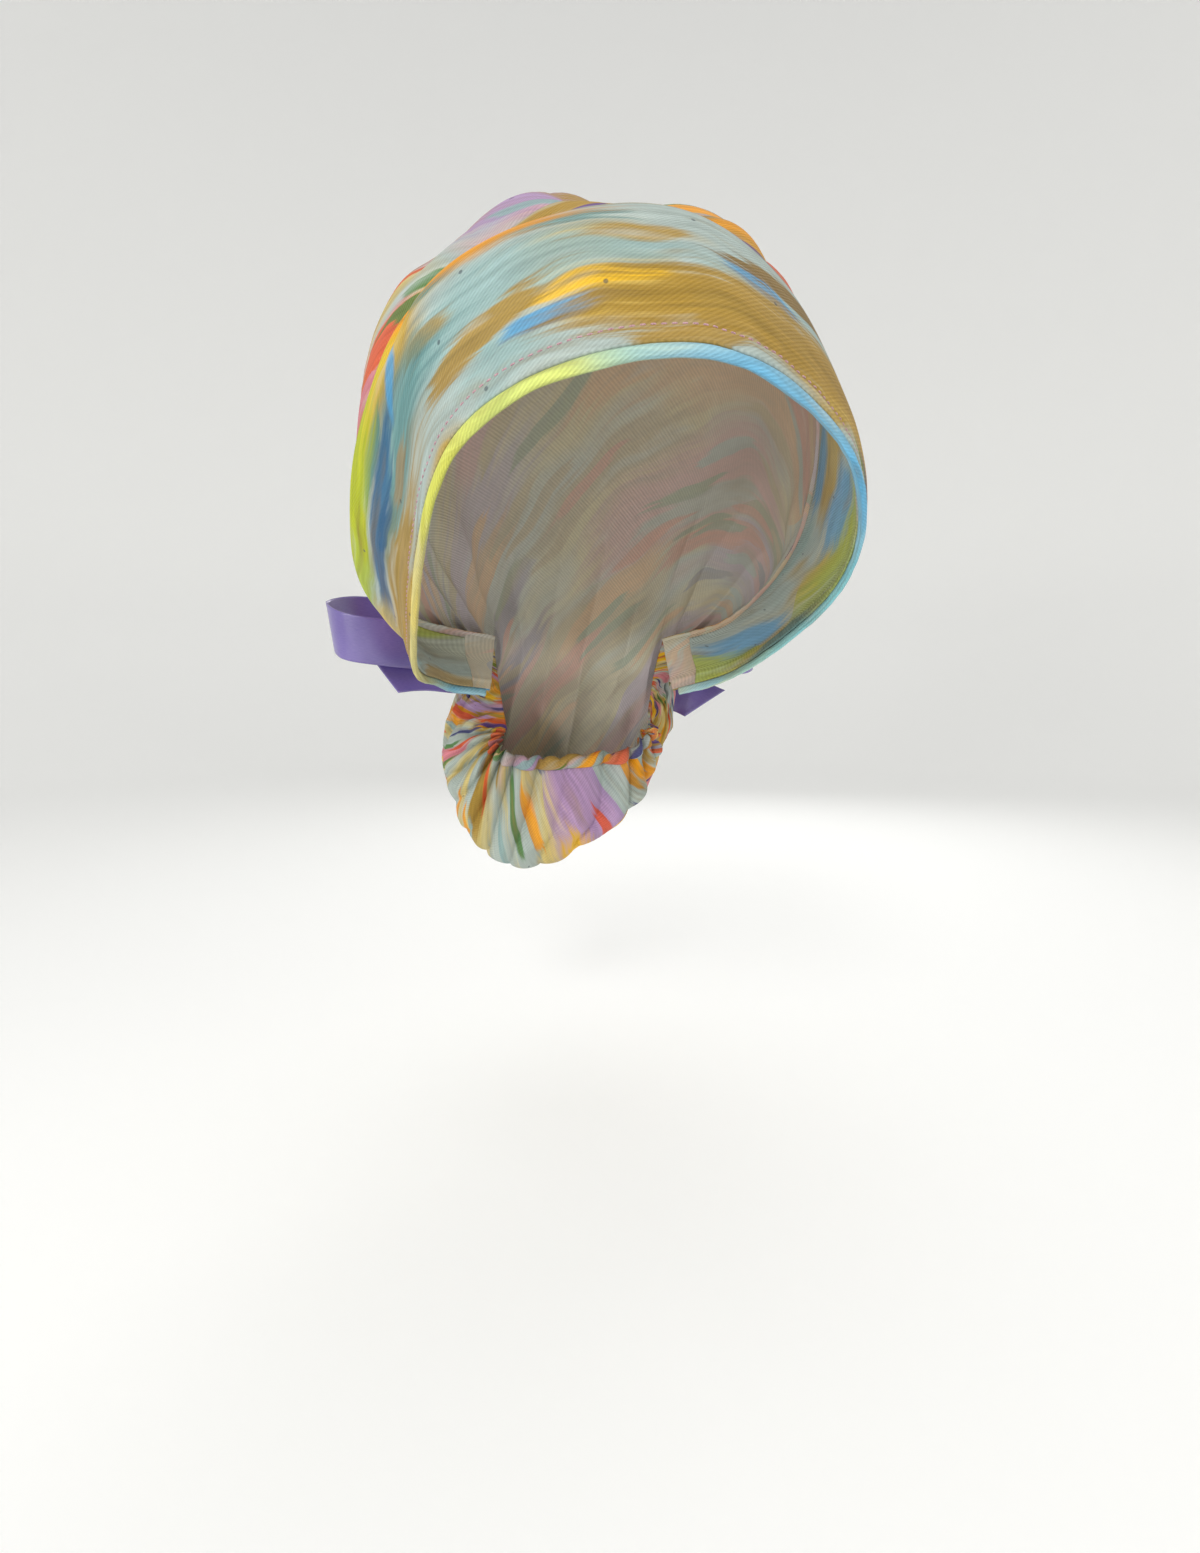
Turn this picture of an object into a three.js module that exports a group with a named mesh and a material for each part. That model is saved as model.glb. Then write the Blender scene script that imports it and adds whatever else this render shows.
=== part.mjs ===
// A ponytail scrub cap: a wide self-lined front band, a gathered crown, a hair pouch that hangs from
// it with an elastic mouth, and two satin ribbon ties knotted in a bow behind the nape.
// Millimetres. +Z up, the face opening looks along -Y, the wearer's right is -X.
// The tables are measured from a point above the forehead; HEAD_SEAT, the inside of the crown where
// it rests on the head, becomes the part's origin.
import * as THREE from "three";

// Driving sizes
const CLOTH = 1.2;
const FACING_CLOTH = 1.0;
const RIBBON_CLOTH = 1.0;
const PIECE_GAP = 0.35;
const END_SEAM_GAP = 0.16;
const RIBBON_WIDTH = 22;
const HEM_ROLL_HEIGHT = 4.2;
const HEM_ROLL_DEPTH = 3.0;
const CASING_HEIGHT = 6.0;
const CASING_DEPTH = 4.2;
const CASING_GAP = 0.9;
const KNOT_SIZE = { x: 17, y: 13, z: 20 };
const KNOT_AT = [-8, 131.5, -157];
const TIE_SHARE = 0.55;
const TIE_Z = -155;
const TIE_PIVOT_Y = 60;
const TIE_PIVOT_BACK = 62;
const TIE_START_ANGLE = 0.42;
const HEAD_SEAT = [0, 30, 2.1];

// Grid counts: across (front to back) and along (wearer's right end to left end)
const BAND_GRID = { across: 8, along: 48 };
const FACING_INSET = { across: 1, along: 2 };
const CROWN_GRID = { across: 20, along: 48 };

// One row per section of the cloth, from the hem over the head to the elastic mouth of the pouch.
// top: the section's middle; right and left: its widest points on each side of the wearer;
// fullR and fullL: how square the shoulder between top and side is (0.707 is an ellipse).
const SECTIONS = [
  { name: "hem", top: [-1, -99, -92], right: [-79, 25, -160], left: [84, -13, -136], fullR: 0.76, fullL: 0.67 },
  { name: "brow", top: [-3, -94, -72], right: [-84, 19, -142], left: [90, -6, -126], fullR: 0.76, fullL: 0.65 },
  { name: "rise", top: [-3, -83, -54], right: [-93, 15, -131], left: [88, 9, -118], fullR: 0.76, fullL: 0.66 },
  { name: "fore", top: [-4, -63, -41], right: [-98, 13, -123], left: [88, 22, -111], fullR: 0.72, fullL: 0.69 },
  { name: "seam", top: [-8, -40, -29], right: [-97, 16, -116], left: [90, 35, -103], fullR: 0.7, fullL: 0.73 },
  { name: "puff", top: [-10, -5, -8], right: [-96, 27, -105], left: [91, 47, -101], fullR: 0.75, fullL: 0.77 },
  { name: "crown", top: [-8, 36, 4], right: [-99, 43, -98], left: [93, 58, -100], fullR: 0.75, fullL: 0.75 },
  { name: "rear", top: [-5, 80, -15], right: [-92, 64, -102], left: [90, 70, -103], fullR: 0.77, fullL: 0.75 },
  { name: "back", top: [0, 112, -68], right: [-76, 88, -116], left: [79, 88, -115], fullR: 0.74, fullL: 0.74 },
  { name: "nape", top: [0, 121, -118], right: [-60, 102, -139], left: [64, 102, -137], fullR: 0.74, fullL: 0.74 },
  { name: "waist", top: [-2, 117, -156], right: [-48, 110, -158], left: [50, 110, -159], fullR: 0.74, fullL: 0.74 },
  { name: "pouch_top", top: [-8, 134, -182], right: [-59, 116, -181], left: [51, 112, -179], fullR: 0.72, fullL: 0.72 },
  { name: "pouch_back", top: [-14, 148, -219], right: [-67, 118, -199], left: [49, 116, -199], fullR: 0.71, fullL: 0.71 },
  { name: "pouch_low", top: [-21, 140, -254], right: [-67, 116, -215], left: [44, 116, -214], fullR: 0.71, fullL: 0.8 },
  { name: "pouch_base", top: [-26, 118, -267], right: [-65, 110, -220], left: [37, 110, -216], fullR: 0.7, fullL: 0.64 },
  { name: "pouch_front", top: [-23, 102, -249], right: [-58, 104, -216], left: [39, 104, -212], fullR: 0.7, fullL: 0.72 },
  { name: "mouth", top: [-18, 97, -215], right: [-46, 100, -205], left: [36, 100, -203], fullR: 0.72, fullL: 0.72 },
];
const SEAM_ROW = 4;
const LAST_ROW = SECTIONS.length - 1;
const NAPE_FULL = 0.74;

// Where the sections end at each side of the nape, mirrored in x
const BAND_END = { from: [46, 90, -175], to: [43, 99, -151] };
const CROWN_END = { from: [43, 100.5, -151], to: [37, 101, -194], bow: 9 };

// Soft relief. Each fold runs from (s0, t0) to (s1, t1): s counts sections, t goes 0 to 1 from the
// wearer's right end to the left end. height is along the outward normal, width across the fold.
const FOLDS = [
  { name: "centre pleat", s0: 3.0, t0: 0.515, s1: 5.6, t1: 0.5, width: 8, height: -4.5 },
  { name: "pleat ridge right", s0: 3.5, t0: 0.47, s1: 5.8, t1: 0.46, width: 11, height: 3.0 },
  { name: "pleat ridge left", s0: 3.6, t0: 0.555, s1: 6.0, t1: 0.55, width: 12, height: 4.5 },
  { name: "brow crease", s0: 2.2, t0: 0.36, s1: 3.4, t1: 0.46, width: 6, height: -2.2 },
  { name: "temple drape", s0: 1.2, t0: 0.31, s1: 2.6, t1: 0.3, width: 14, height: 1.8 },
  { name: "crown tuck right", s0: 5.0, t0: 0.4, s1: 7.5, t1: 0.42, width: 9, height: -3.0 },
  { name: "crown tuck left", s0: 5.0, t0: 0.61, s1: 7.5, t1: 0.58, width: 9, height: -3.0 },
  { name: "left side drape", s0: 5.5, t0: 0.75, s1: 8.5, t1: 0.66, width: 12, height: -3.5 },
  { name: "right side drape", s0: 5.5, t0: 0.25, s1: 8.5, t1: 0.34, width: 12, height: -3.5 },
  { name: "pouch fold right", s0: 11.2, t0: 0.36, s1: 13.4, t1: 0.3, width: 8, height: -3.5 },
  { name: "pouch fold left", s0: 11.2, t0: 0.6, s1: 13.4, t1: 0.66, width: 8, height: -3.5 },
];
const SECTION_SPACING = 32;
const SECTION_LENGTH = 400;

// Gathers: waves across t, strongest at section "at" and gone after "reach" sections
const GATHERS = [
  { name: "seam pleats", at: 4.2, reach: 1.3, waves: 15, height: 0.8, from: 0.3, to: 0.7 },
  { name: "waist gathers", at: 10, reach: 2.4, waves: 13, height: 1.7, from: 0.04, to: 0.96 },
  { name: "mouth gathers", at: 16, reach: 2.6, waves: 12, height: 2.0, from: 0.04, to: 0.96 },
];

// Ribbon rows: at is the centre's offset from the knot, lean how far the upper edge leans back
// (degrees) and share the part of the full width that lies open there
const LOOP_RIGHT = [
  { at: [-9.0, 2.6, 3], lean: 0, share: 0.5 },
  { at: [-26, 5, 4.5], lean: 2, share: 0.85 },
  { at: [-52, 7.5, 9], lean: 4, share: 1 },
  { at: [-80, 5, 14], lean: 6, share: 1 },
  { at: [-102, -5, 16.5], lean: 6, share: 1 },
  { at: [-112, -20, 13.5], lean: 4, share: 1 },
  { at: [-105, -31.5, 8.5], lean: 0, share: 1 },
  { at: [-88, -31.5, 7], lean: -2, share: 1 },
  { at: [-62, -16.5, 5.5], lean: -2, share: 1 },
  { at: [-34, -4.4, 3], lean: 0, share: 0.8 },
  { at: [-9.0, -0.7, 2.5], lean: 0, share: 0.5 },
];
const LOOP_LEFT = [
  { at: [9.0, 2.6, 3], lean: 0, share: 0.5 },
  { at: [26, 5.5, 4], lean: 2, share: 0.85 },
  { at: [50, 8.5, 7], lean: 4, share: 1 },
  { at: [76, 7, 9], lean: 6, share: 1 },
  { at: [96, 1, 9], lean: 6, share: 1 },
  { at: [106, -10, 6], lean: 4, share: 1 },
  { at: [99, -19.5, 2], lean: 0, share: 1 },
  { at: [84, -19.5, 1.5], lean: -2, share: 1 },
  { at: [60, -9.5, 2], lean: -2, share: 1 },
  { at: [33, -3, 1.5], lean: 0, share: 0.8 },
  { at: [9.0, -0.7, 2.5], lean: 0, share: 0.5 },
];
const TAIL_RIGHT = [
  { at: [-8.9, 0.6, -6.8], lean: 0, share: 0.28 },
  { at: [-26, -0.5, -8], lean: 8, share: 0.7 },
  { at: [-48, -5, -9], lean: 10, share: 1 },
  { at: [-70, -14, -7.5], lean: 8, share: 1 },
  { at: [-89, -25, -9], lean: 4, share: 1 },
];
const TAIL_LEFT = [
  { at: [8.9, 0.6, -6.8], lean: 0, share: 0.28 },
  { at: [26, 1.5, -9.5], lean: -6, share: 0.7 },
  { at: [46, -1, -13], lean: -8, share: 1 },
  { at: [65, -5, -18], lean: -10, share: 1 },
  { at: [80, -12, -25], lean: -12, share: 1 },
];
const TAIL_SLANT = 7;

// Spline through rows of numbers, u in row units
function splineRows(rows, u) {
  const last = rows.length - 1;
  const c = Math.min(Math.max(u, 0), last);
  const i = Math.min(Math.floor(c), last - 1);
  const f = c - i;
  const b = rows[i];
  const d = rows[i + 1];
  const a = i > 0 ? rows[i - 1] : b.map((v, k) => 2 * v - d[k]);
  const e = i + 2 <= last ? rows[i + 2] : d.map((v, k) => 2 * v - b[k]);
  return b.map((v, k) => {
    const p0 = a[k];
    const p2 = d[k];
    const p3 = e[k];
    const c1 = p2 - p0;
    const c2 = 2 * p0 - 5 * v + 4 * p2 - p3;
    const c3 = 3 * v - p0 - 3 * p2 + p3;
    return 0.5 * (2 * v + c1 * f + c2 * f * f + c3 * f * f * f);
  });
}

const mix = (a, b, k) => a.map((v, i) => v + (b[i] - v) * k);

// The end point of section row i on one side (sign -1 is the wearer's right)
function sectionEnd(i, sign) {
  if (i <= SEAM_ROW) {
    const [x, y, z] = mix(BAND_END.from, BAND_END.to, i / SEAM_ROW);
    return [sign * x, y, z];
  }
  const k = (i - SEAM_ROW) / (LAST_ROW - SEAM_ROW);
  const [x, y, z] = mix(CROWN_END.from, CROWN_END.to, k);
  return [sign * x, y + CROWN_END.bow * Math.sin(Math.PI * k), z];
}

// A point on the rounded corner between a and b, where corner shares a's x and b's y and z
function shoulder(a, b, full) {
  const corner = [a[0], b[1], b[2]];
  return corner.map((v, i) => v * (1 - 2 * full) + full * (a[i] + b[i]));
}

// Nine points along one section, from the wearer's right end to the left end
function sectionPoints(row, i) {
  const endR = sectionEnd(i, -1);
  const endL = sectionEnd(i, 1);
  const points = [
    endR,
    shoulder(endR, row.right, NAPE_FULL),
    row.right,
    shoulder(row.top, row.right, row.fullR),
    row.top,
    shoulder(row.top, row.left, row.fullL),
    row.left,
    shoulder(endL, row.left, NAPE_FULL),
    endL,
  ];
  return points.flat();
}
const SECTION_ROWS = SECTIONS.map(sectionPoints);

// Smooth cloth surface without relief
function bare(s, t) {
  const flat = splineRows(SECTION_ROWS, s);
  const points = [];
  for (let k = 0; k < 9; k += 1) points.push(flat.slice(3 * k, 3 * k + 3));
  return new THREE.Vector3(...splineRows(points, t * 8));
}

function normalAt(surface, s, t, ds = 0.04, dt = 0.006) {
  const s0 = Math.max(s - ds, 0);
  const s1 = Math.min(s + ds, LAST_ROW);
  const t0 = Math.max(t - dt, 0);
  const t1 = Math.min(t + dt, 1);
  const along = surface(s, t1).sub(surface(s, t0));
  const across = surface(s1, t).sub(surface(s0, t));
  return along.cross(across).normalize();
}

function smooth01(x) {
  const k = Math.min(Math.max(x, 0), 1);
  return k * k * (3 - 2 * k);
}

// Height of the relief at (s, t), along the outward normal
function relief(s, t) {
  let h = 0;
  const p = [s * SECTION_SPACING, t * SECTION_LENGTH];
  for (const f of FOLDS) {
    const a = [f.s0 * SECTION_SPACING, f.t0 * SECTION_LENGTH];
    const b = [f.s1 * SECTION_SPACING, f.t1 * SECTION_LENGTH];
    const d = [b[0] - a[0], b[1] - a[1]];
    const length2 = d[0] * d[0] + d[1] * d[1];
    const k = Math.min(Math.max(((p[0] - a[0]) * d[0] + (p[1] - a[1]) * d[1]) / length2, 0), 1);
    const off = Math.hypot(p[0] - a[0] - k * d[0], p[1] - a[1] - k * d[1]);
    h += f.height * Math.exp(-((off / f.width) ** 2));
  }
  for (const g of GATHERS) {
    const fade = 1 - smooth01(Math.abs(s - g.at) / g.reach);
    const edge = smooth01((t - g.from) / 0.08) * smooth01((g.to - t) / 0.08);
    h += g.height * fade * edge * Math.sin(2 * Math.PI * g.waves * t);
  }
  const ends = smooth01(t / 0.06) * smooth01((1 - t) / 0.06);
  return h * ends;
}

// Cloth surface with relief, lifted by an extra distance along the normal
function cloth(s, t, lift = 0) {
  const n = normalAt(bare, s, t);
  return bare(s, t).addScaledVector(n, relief(s, t) + lift);
}

// Closed body between two grids of points with the same counts: outer faces outward
function wall(outer, inner) {
  const rows = outer.length;
  const cols = outer[0].length;
  const positions = [];
  for (const grid of [outer, inner]) {
    for (const row of grid) for (const p of row) positions.push(p.x, p.y, p.z);
  }
  const at = (side, i, j) => side * rows * cols + i * cols + j;
  const index = [];
  const quad = (a, b, c, d) => index.push(a, b, c, a, c, d);
  for (let i = 0; i < rows - 1; i += 1) {
    for (let j = 0; j < cols - 1; j += 1) {
      quad(at(0, i, j), at(0, i, j + 1), at(0, i + 1, j + 1), at(0, i + 1, j));
      quad(at(1, i, j), at(1, i + 1, j), at(1, i + 1, j + 1), at(1, i, j + 1));
    }
  }
  for (let j = 0; j < cols - 1; j += 1) {
    quad(at(0, 0, j), at(1, 0, j), at(1, 0, j + 1), at(0, 0, j + 1));
    quad(at(0, rows - 1, j), at(0, rows - 1, j + 1), at(1, rows - 1, j + 1), at(1, rows - 1, j));
  }
  for (let i = 0; i < rows - 1; i += 1) {
    quad(at(0, i, 0), at(0, i + 1, 0), at(1, i + 1, 0), at(1, i, 0));
    quad(at(0, i, cols - 1), at(1, i, cols - 1), at(1, i + 1, cols - 1), at(0, i + 1, cols - 1));
  }
  const geometry = new THREE.BufferGeometry();
  geometry.setAttribute("position", new THREE.Float32BufferAttribute(positions, 3));
  geometry.setIndex(index);
  geometry.computeVertexNormals();
  return geometry;
}

// A panel of the cloth from section s0 to s1, its outer face at "lift" and its inner face below it.
// inset leaves out grid lines at the rear edge and at both ends.
function panel(s0, s1, grid, lift, thickness, inset = { across: 0, along: 0 }) {
  const outer = [];
  const inner = [];
  for (let i = 0; i <= grid.across - inset.across; i += 1) {
    const outerRow = [];
    const innerRow = [];
    for (let j = inset.along; j <= grid.along - inset.along; j += 1) {
      const t = j / grid.along;
      const nearEnd = 1 - smooth01(Math.min(t, 1 - t) / 0.08);
      const rear = s1 - (s1 < LAST_ROW ? END_SEAM_GAP * nearEnd : 0);
      const s = s0 + ((rear - s0) * i) / grid.across;
      outerRow.push(cloth(s, t, lift));
      innerRow.push(cloth(s, t, lift - thickness));
    }
    outer.push(outerRow);
    inner.push(innerRow);
  }
  return wall(outer, inner);
}

// Closed tube of an oval section that follows the edge of a section of the cloth.
// reach is the tube's offset past the edge, squash its two radii.
function edgeRoll(s, outwardSign, steps, sides, height, depth, lift, gap, inset, ruffle) {
  const rings = [];
  for (let j = 0; j <= steps; j += 1) {
    const t = inset + ((1 - 2 * inset) * j) / steps;
    const n = normalAt(bare, s, t);
    const past = bare(s + (outwardSign > 0 ? 0 : 0.1), t).sub(bare(s - (outwardSign > 0 ? 0.1 : 0), t));
    past.multiplyScalar(outwardSign).normalize();
    const along = n.clone().cross(past).normalize();
    past.copy(along.clone().cross(n)).normalize();
    const taper = ruffle.size ? 0.55 + 0.45 * smooth01((Math.min(t, 1 - t) - inset) / 0.16) : 1;
    const swell = taper * (1 + ruffle.size * Math.sin(2 * Math.PI * ruffle.waves * t));
    const centre = cloth(s, t, lift).addScaledVector(past, gap + (height * swell) / 2);
    const ring = [];
    for (let k = 0; k < sides; k += 1) {
      const a = (2 * Math.PI * k) / sides;
      const p = centre.clone();
      p.addScaledVector(past, (Math.cos(a) * height * swell) / 2);
      p.addScaledVector(n, (Math.sin(a) * depth * taper) / 2);
      ring.push(p);
    }
    rings.push(ring);
  }
  return tubeFromRings(rings);
}

// Closed body through a list of equal rings, capped at both ends
function tubeFromRings(rings) {
  const sides = rings[0].length;
  const positions = [];
  const centre = (ring) => ring.reduce((a, p) => a.add(p), new THREE.Vector3()).divideScalar(sides);
  for (const ring of rings) for (const p of ring) positions.push(p.x, p.y, p.z);
  const first = centre(rings[0]);
  const final = centre(rings[rings.length - 1]);
  positions.push(first.x, first.y, first.z, final.x, final.y, final.z);
  const count = rings.length * sides;
  const index = [];
  for (let i = 0; i < rings.length - 1; i += 1) {
    for (let k = 0; k < sides; k += 1) {
      const a = i * sides + k;
      const b = i * sides + ((k + 1) % sides);
      index.push(a, b, b + sides, a, b + sides, a + sides);
    }
  }
  for (let k = 0; k < sides; k += 1) {
    const next = (k + 1) % sides;
    const base = (rings.length - 1) * sides;
    index.push(count, next, k);
    index.push(count + 1, base + k, base + next);
  }
  const geometry = new THREE.BufferGeometry();
  geometry.setAttribute("position", new THREE.Float32BufferAttribute(positions, 3));
  geometry.setIndex(index);
  return outwards(geometry);
}

// Turns a closed geometry so that its faces point out
function outwards(geometry) {
  const p = geometry.attributes.position;
  const index = geometry.index.array;
  const a = new THREE.Vector3();
  const b = new THREE.Vector3();
  const c = new THREE.Vector3();
  let volume = 0;
  for (let i = 0; i < index.length; i += 3) {
    a.fromBufferAttribute(p, index[i]);
    b.fromBufferAttribute(p, index[i + 1]);
    c.fromBufferAttribute(p, index[i + 2]);
    volume += a.dot(b.cross(c));
  }
  if (volume < 0) {
    const turned = [];
    for (let i = 0; i < index.length; i += 3) turned.push(index[i], index[i + 2], index[i + 1]);
    geometry.setIndex(turned);
  }
  geometry.computeVertexNormals();
  return geometry;
}

// A flat ribbon through rows of { centre, up, share }: slant slides the last edge's corners apart
function ribbon(rows, steps, slant = 0) {
  const table = rows.map((r) => [...r.centre, ...r.up, r.share]);
  const last = rows.length - 1;
  const upper = [];
  const lower = [];
  for (let i = 0; i <= steps; i += 1) {
    const u = (last * i) / steps;
    const [x, y, z, ux, uy, uz, share] = splineRows(table, u);
    const before = splineRows(table, Math.max(u - 0.02, 0));
    const after = splineRows(table, Math.min(u + 0.02, last));
    const way = new THREE.Vector3(after[0] - before[0], after[1] - before[1], after[2] - before[2]).normalize();
    const up = new THREE.Vector3(ux, uy, uz);
    up.addScaledVector(way, -up.dot(way)).normalize();
    const face = up.clone().cross(way).normalize();
    const half = (RIBBON_WIDTH / 2) * share;
    const endShift = slant * smooth01((i / steps - 0.75) / 0.25);
    const edges = [-1, 1].map((k) => {
      const p = new THREE.Vector3(x, y, z);
      p.addScaledVector(up, k * half).addScaledVector(way, k * endShift);
      return p;
    });
    upper.push(edges.map((p) => p.clone().addScaledVector(face, RIBBON_CLOTH / 2)));
    lower.push(edges.map((p) => p.clone().addScaledVector(face, -RIBBON_CLOTH / 2)));
  }
  return outwards(wall(upper, lower));
}

// Rows of a loop or a tail, from their offsets to the knot
function fromKnot(rows) {
  return rows.map((r, i) => {
    const next = rows[Math.min(i + 1, rows.length - 1)].at;
    const prev = rows[Math.max(i - 1, 0)].at;
    const way = new THREE.Vector3(next[0] - prev[0], next[1] - prev[1], next[2] - prev[2]).normalize();
    const up = new THREE.Vector3(0, 0, 1).applyAxisAngle(way, THREE.MathUtils.degToRad(r.lean));
    return { centre: r.at.map((v, k) => v + KNOT_AT[k]), up: up.toArray(), share: r.share };
  });
}

// Outer points of the cloth near the height of the ties
const CRESTS = [];
for (let s = 0; s <= LAST_ROW; s += 0.1) {
  for (let t = 0; t <= 1; t += 0.005) {
    const p = cloth(s, t);
    if (Math.abs(p.z - TIE_Z) < RIBBON_WIDTH / 2) CRESTS.push(p);
  }
}

// The ribbon from the end of the band round the gathered waist to the knot. Seen from above, it
// turns about a point inside the nape and stands just clear of the cloth in every direction.
function tie(sign) {
  const half = (RIBBON_WIDTH * TIE_SHARE) / 2;
  const knotEdge = KNOT_AT[0] + sign * (KNOT_SIZE.x / 2 + 2 * PIECE_GAP);
  const lastAngle = Math.atan2(TIE_PIVOT_BACK, sign * knotEdge) - 0.06;
  const rows = [];
  for (let k = 0; k <= 9; k += 1) {
    const angle = TIE_START_ANGLE + ((lastAngle - TIE_START_ANGLE) * k) / 9;
    const out = new THREE.Vector3(sign * Math.cos(angle), Math.sin(angle), 0);
    let reach = 0;
    for (const c of CRESTS) {
      const x = c.x;
      const y = c.y - TIE_PIVOT_Y;
      const off = Math.abs(Math.atan2(y, sign * x) - angle);
      const near = off < 0.1 && Math.abs(c.z - TIE_Z) < half + 1.2;
      if (near) reach = Math.max(reach, x * out.x + y * out.y);
    }
    const far = reach + RIBBON_CLOTH / 2 + PIECE_GAP + 1.05;
    rows.push({ centre: [out.x * far, TIE_PIVOT_Y + out.y * far, TIE_Z], up: [0, 0, 1], share: TIE_SHARE });
  }
  rows.push({ centre: [knotEdge, KNOT_AT[1] - 3.7, KNOT_AT[2]], up: [0, 0, 1], share: 0.45 });
  return ribbon(rows, 30);
}

// Rounded block for the knot
function knot(centre) {
  const rings = [];
  const levels = 8;
  const sides = 16;
  const power = (v, e) => Math.sign(v) * Math.abs(v) ** e;
  for (let i = 1; i < levels; i += 1) {
    const a = -Math.PI / 2 + (Math.PI * i) / levels;
    const ring = [];
    for (let k = 0; k < sides; k += 1) {
      const b = (2 * Math.PI * k) / sides;
      const r = power(Math.cos(a), 0.6);
      const x = (KNOT_SIZE.x / 2) * r * power(Math.cos(b), 0.65);
      const y = (KNOT_SIZE.y / 2) * r * power(Math.sin(b), 0.65);
      const z = (KNOT_SIZE.z / 2) * power(Math.sin(a), 0.6);
      ring.push(new THREE.Vector3(centre[0] + x, centre[1] + y, centre[2] + z));
    }
    rings.push(ring);
  }
  return tubeFromRings(rings);
}

const group = new THREE.Group();
group.name = "ponytail_scrub_cap";

function add(name, geometry, colour, roughness) {
  geometry.translate(-HEAD_SEAT[0], -HEAD_SEAT[1], -HEAD_SEAT[2]);
  const material = new THREE.MeshStandardMaterial({ color: colour, roughness, metalness: 0 });
  const mesh = new THREE.Mesh(geometry, material);
  mesh.name = name;
  group.add(mesh);
}

const seamStep = 0.02;
const bandRear = SEAM_ROW - seamStep;
add("front_band", panel(0, bandRear, BAND_GRID, 0, CLOTH), "#c3ab6b", 0.85);
const facingLift = -(CLOTH + 2 * PIECE_GAP);
const facing = panel(0, bandRear, BAND_GRID, facingLift, FACING_CLOTH, FACING_INSET);
add("band_facing", facing, "#9aa84a", 0.85);
const flat = { size: 0, waves: 0 };
const hemRoll = edgeRoll(0, -1, 48, 6, HEM_ROLL_HEIGHT, HEM_ROLL_DEPTH, -CLOTH, PIECE_GAP + 0.15, 0.012, flat);
add("hem_roll", hemRoll, "#8fc4d6", 0.85);
const crown = panel(SEAM_ROW + seamStep, LAST_ROW, CROWN_GRID, 0, CLOTH);
add("crown_and_pouch", crown, "#d98a5a", 0.85);
const ruffle = { size: 0.16, waves: 12 };
const casing = edgeRoll(LAST_ROW, 1, 48, 6, CASING_HEIGHT, CASING_DEPTH, -CLOTH / 2, CASING_GAP, 0.06, ruffle);
add("elastic_casing", casing, "#c9a64a", 0.85);

const ribbonColour = "#9a84c8";
add("tie_right", tie(-1), ribbonColour, 0.35);
add("tie_left", tie(1), ribbonColour, 0.35);
add("bow_knot", knot(KNOT_AT), ribbonColour, 0.35);
add("bow_loop_right", ribbon(fromKnot(LOOP_RIGHT), 34), ribbonColour, 0.35);
add("bow_loop_left", ribbon(fromKnot(LOOP_LEFT), 34), ribbonColour, 0.35);
add("ribbon_tail_right", ribbon(fromKnot(TAIL_RIGHT), 12, TAIL_SLANT), ribbonColour, 0.35);
add("ribbon_tail_left", ribbon(fromKnot(TAIL_LEFT), 12, TAIL_SLANT), ribbonColour, 0.35);

export default group;
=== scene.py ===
"""Looks of a ponytail scrub cap: printed cotton band and lining, gathered crown, hair pouch, satin bow."""
import math

import bmesh
import bpy
import numpy as np
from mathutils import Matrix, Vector


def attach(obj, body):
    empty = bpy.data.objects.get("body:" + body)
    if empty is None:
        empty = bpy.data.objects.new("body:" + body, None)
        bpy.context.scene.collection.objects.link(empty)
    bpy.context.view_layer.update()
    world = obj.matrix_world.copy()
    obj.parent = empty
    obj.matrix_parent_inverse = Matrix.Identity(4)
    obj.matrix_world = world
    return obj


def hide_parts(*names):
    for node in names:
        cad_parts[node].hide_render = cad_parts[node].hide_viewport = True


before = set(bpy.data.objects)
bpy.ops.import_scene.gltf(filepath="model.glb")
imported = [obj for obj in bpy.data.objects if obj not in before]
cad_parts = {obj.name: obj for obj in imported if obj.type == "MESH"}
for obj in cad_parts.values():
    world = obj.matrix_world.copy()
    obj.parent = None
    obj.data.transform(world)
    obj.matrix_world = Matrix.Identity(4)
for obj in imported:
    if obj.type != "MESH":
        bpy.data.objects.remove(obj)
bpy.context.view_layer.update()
scene = bpy.context.scene


def table(columns, rows):
    """Rows as dictionaries, under the names of the columns."""
    return [dict(zip(columns.split(), row)) for row in rows]


# Driving sizes in millimetres: the part's, with a slimmer rim and thinner ribbon
MM = 0.001
HEAD_SEAT = np.array([0.0, 30.0, 2.1])
CLOTH = 1.2
FACING_CLOTH = 1.0
FACING_DEPTH = 1.9
RIBBON_WIDTH = 22.0
RIBBON_CLOTH = 0.5
HEM_ROLL_HEIGHT = 3.6
HEM_ROLL_DEPTH = 2.6
HEM_ROLL_GAP = 0.3
CASING_HEIGHT = 6.6
CASING_DEPTH = 4.6
CASING_GAP = 0.2
KNOT_SIZE = (17.0, 13.0, 20.0)
KNOT_AT = np.array([-8.0, 131.5, -157.0])
TIE_SHARE = 0.55
TIE_Z = -155.0
TIE_PIVOT_Y = 60.0
TIE_PIVOT_BACK = 62.0
TIE_START_ANGLE = 0.42
TIE_CLEARANCE = 1.5
TIE_ROWS = 10
TAIL_SLANT = 7.0

# Stitching: one row of lockstitch along the band's edge; STITCH_PITCH is from one stitch to the next
STITCH_LENGTH = 2.0
STITCH_PITCH = 2.6
STITCH_RADIUS = 0.24
STITCH_INSET = 4.4

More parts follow.
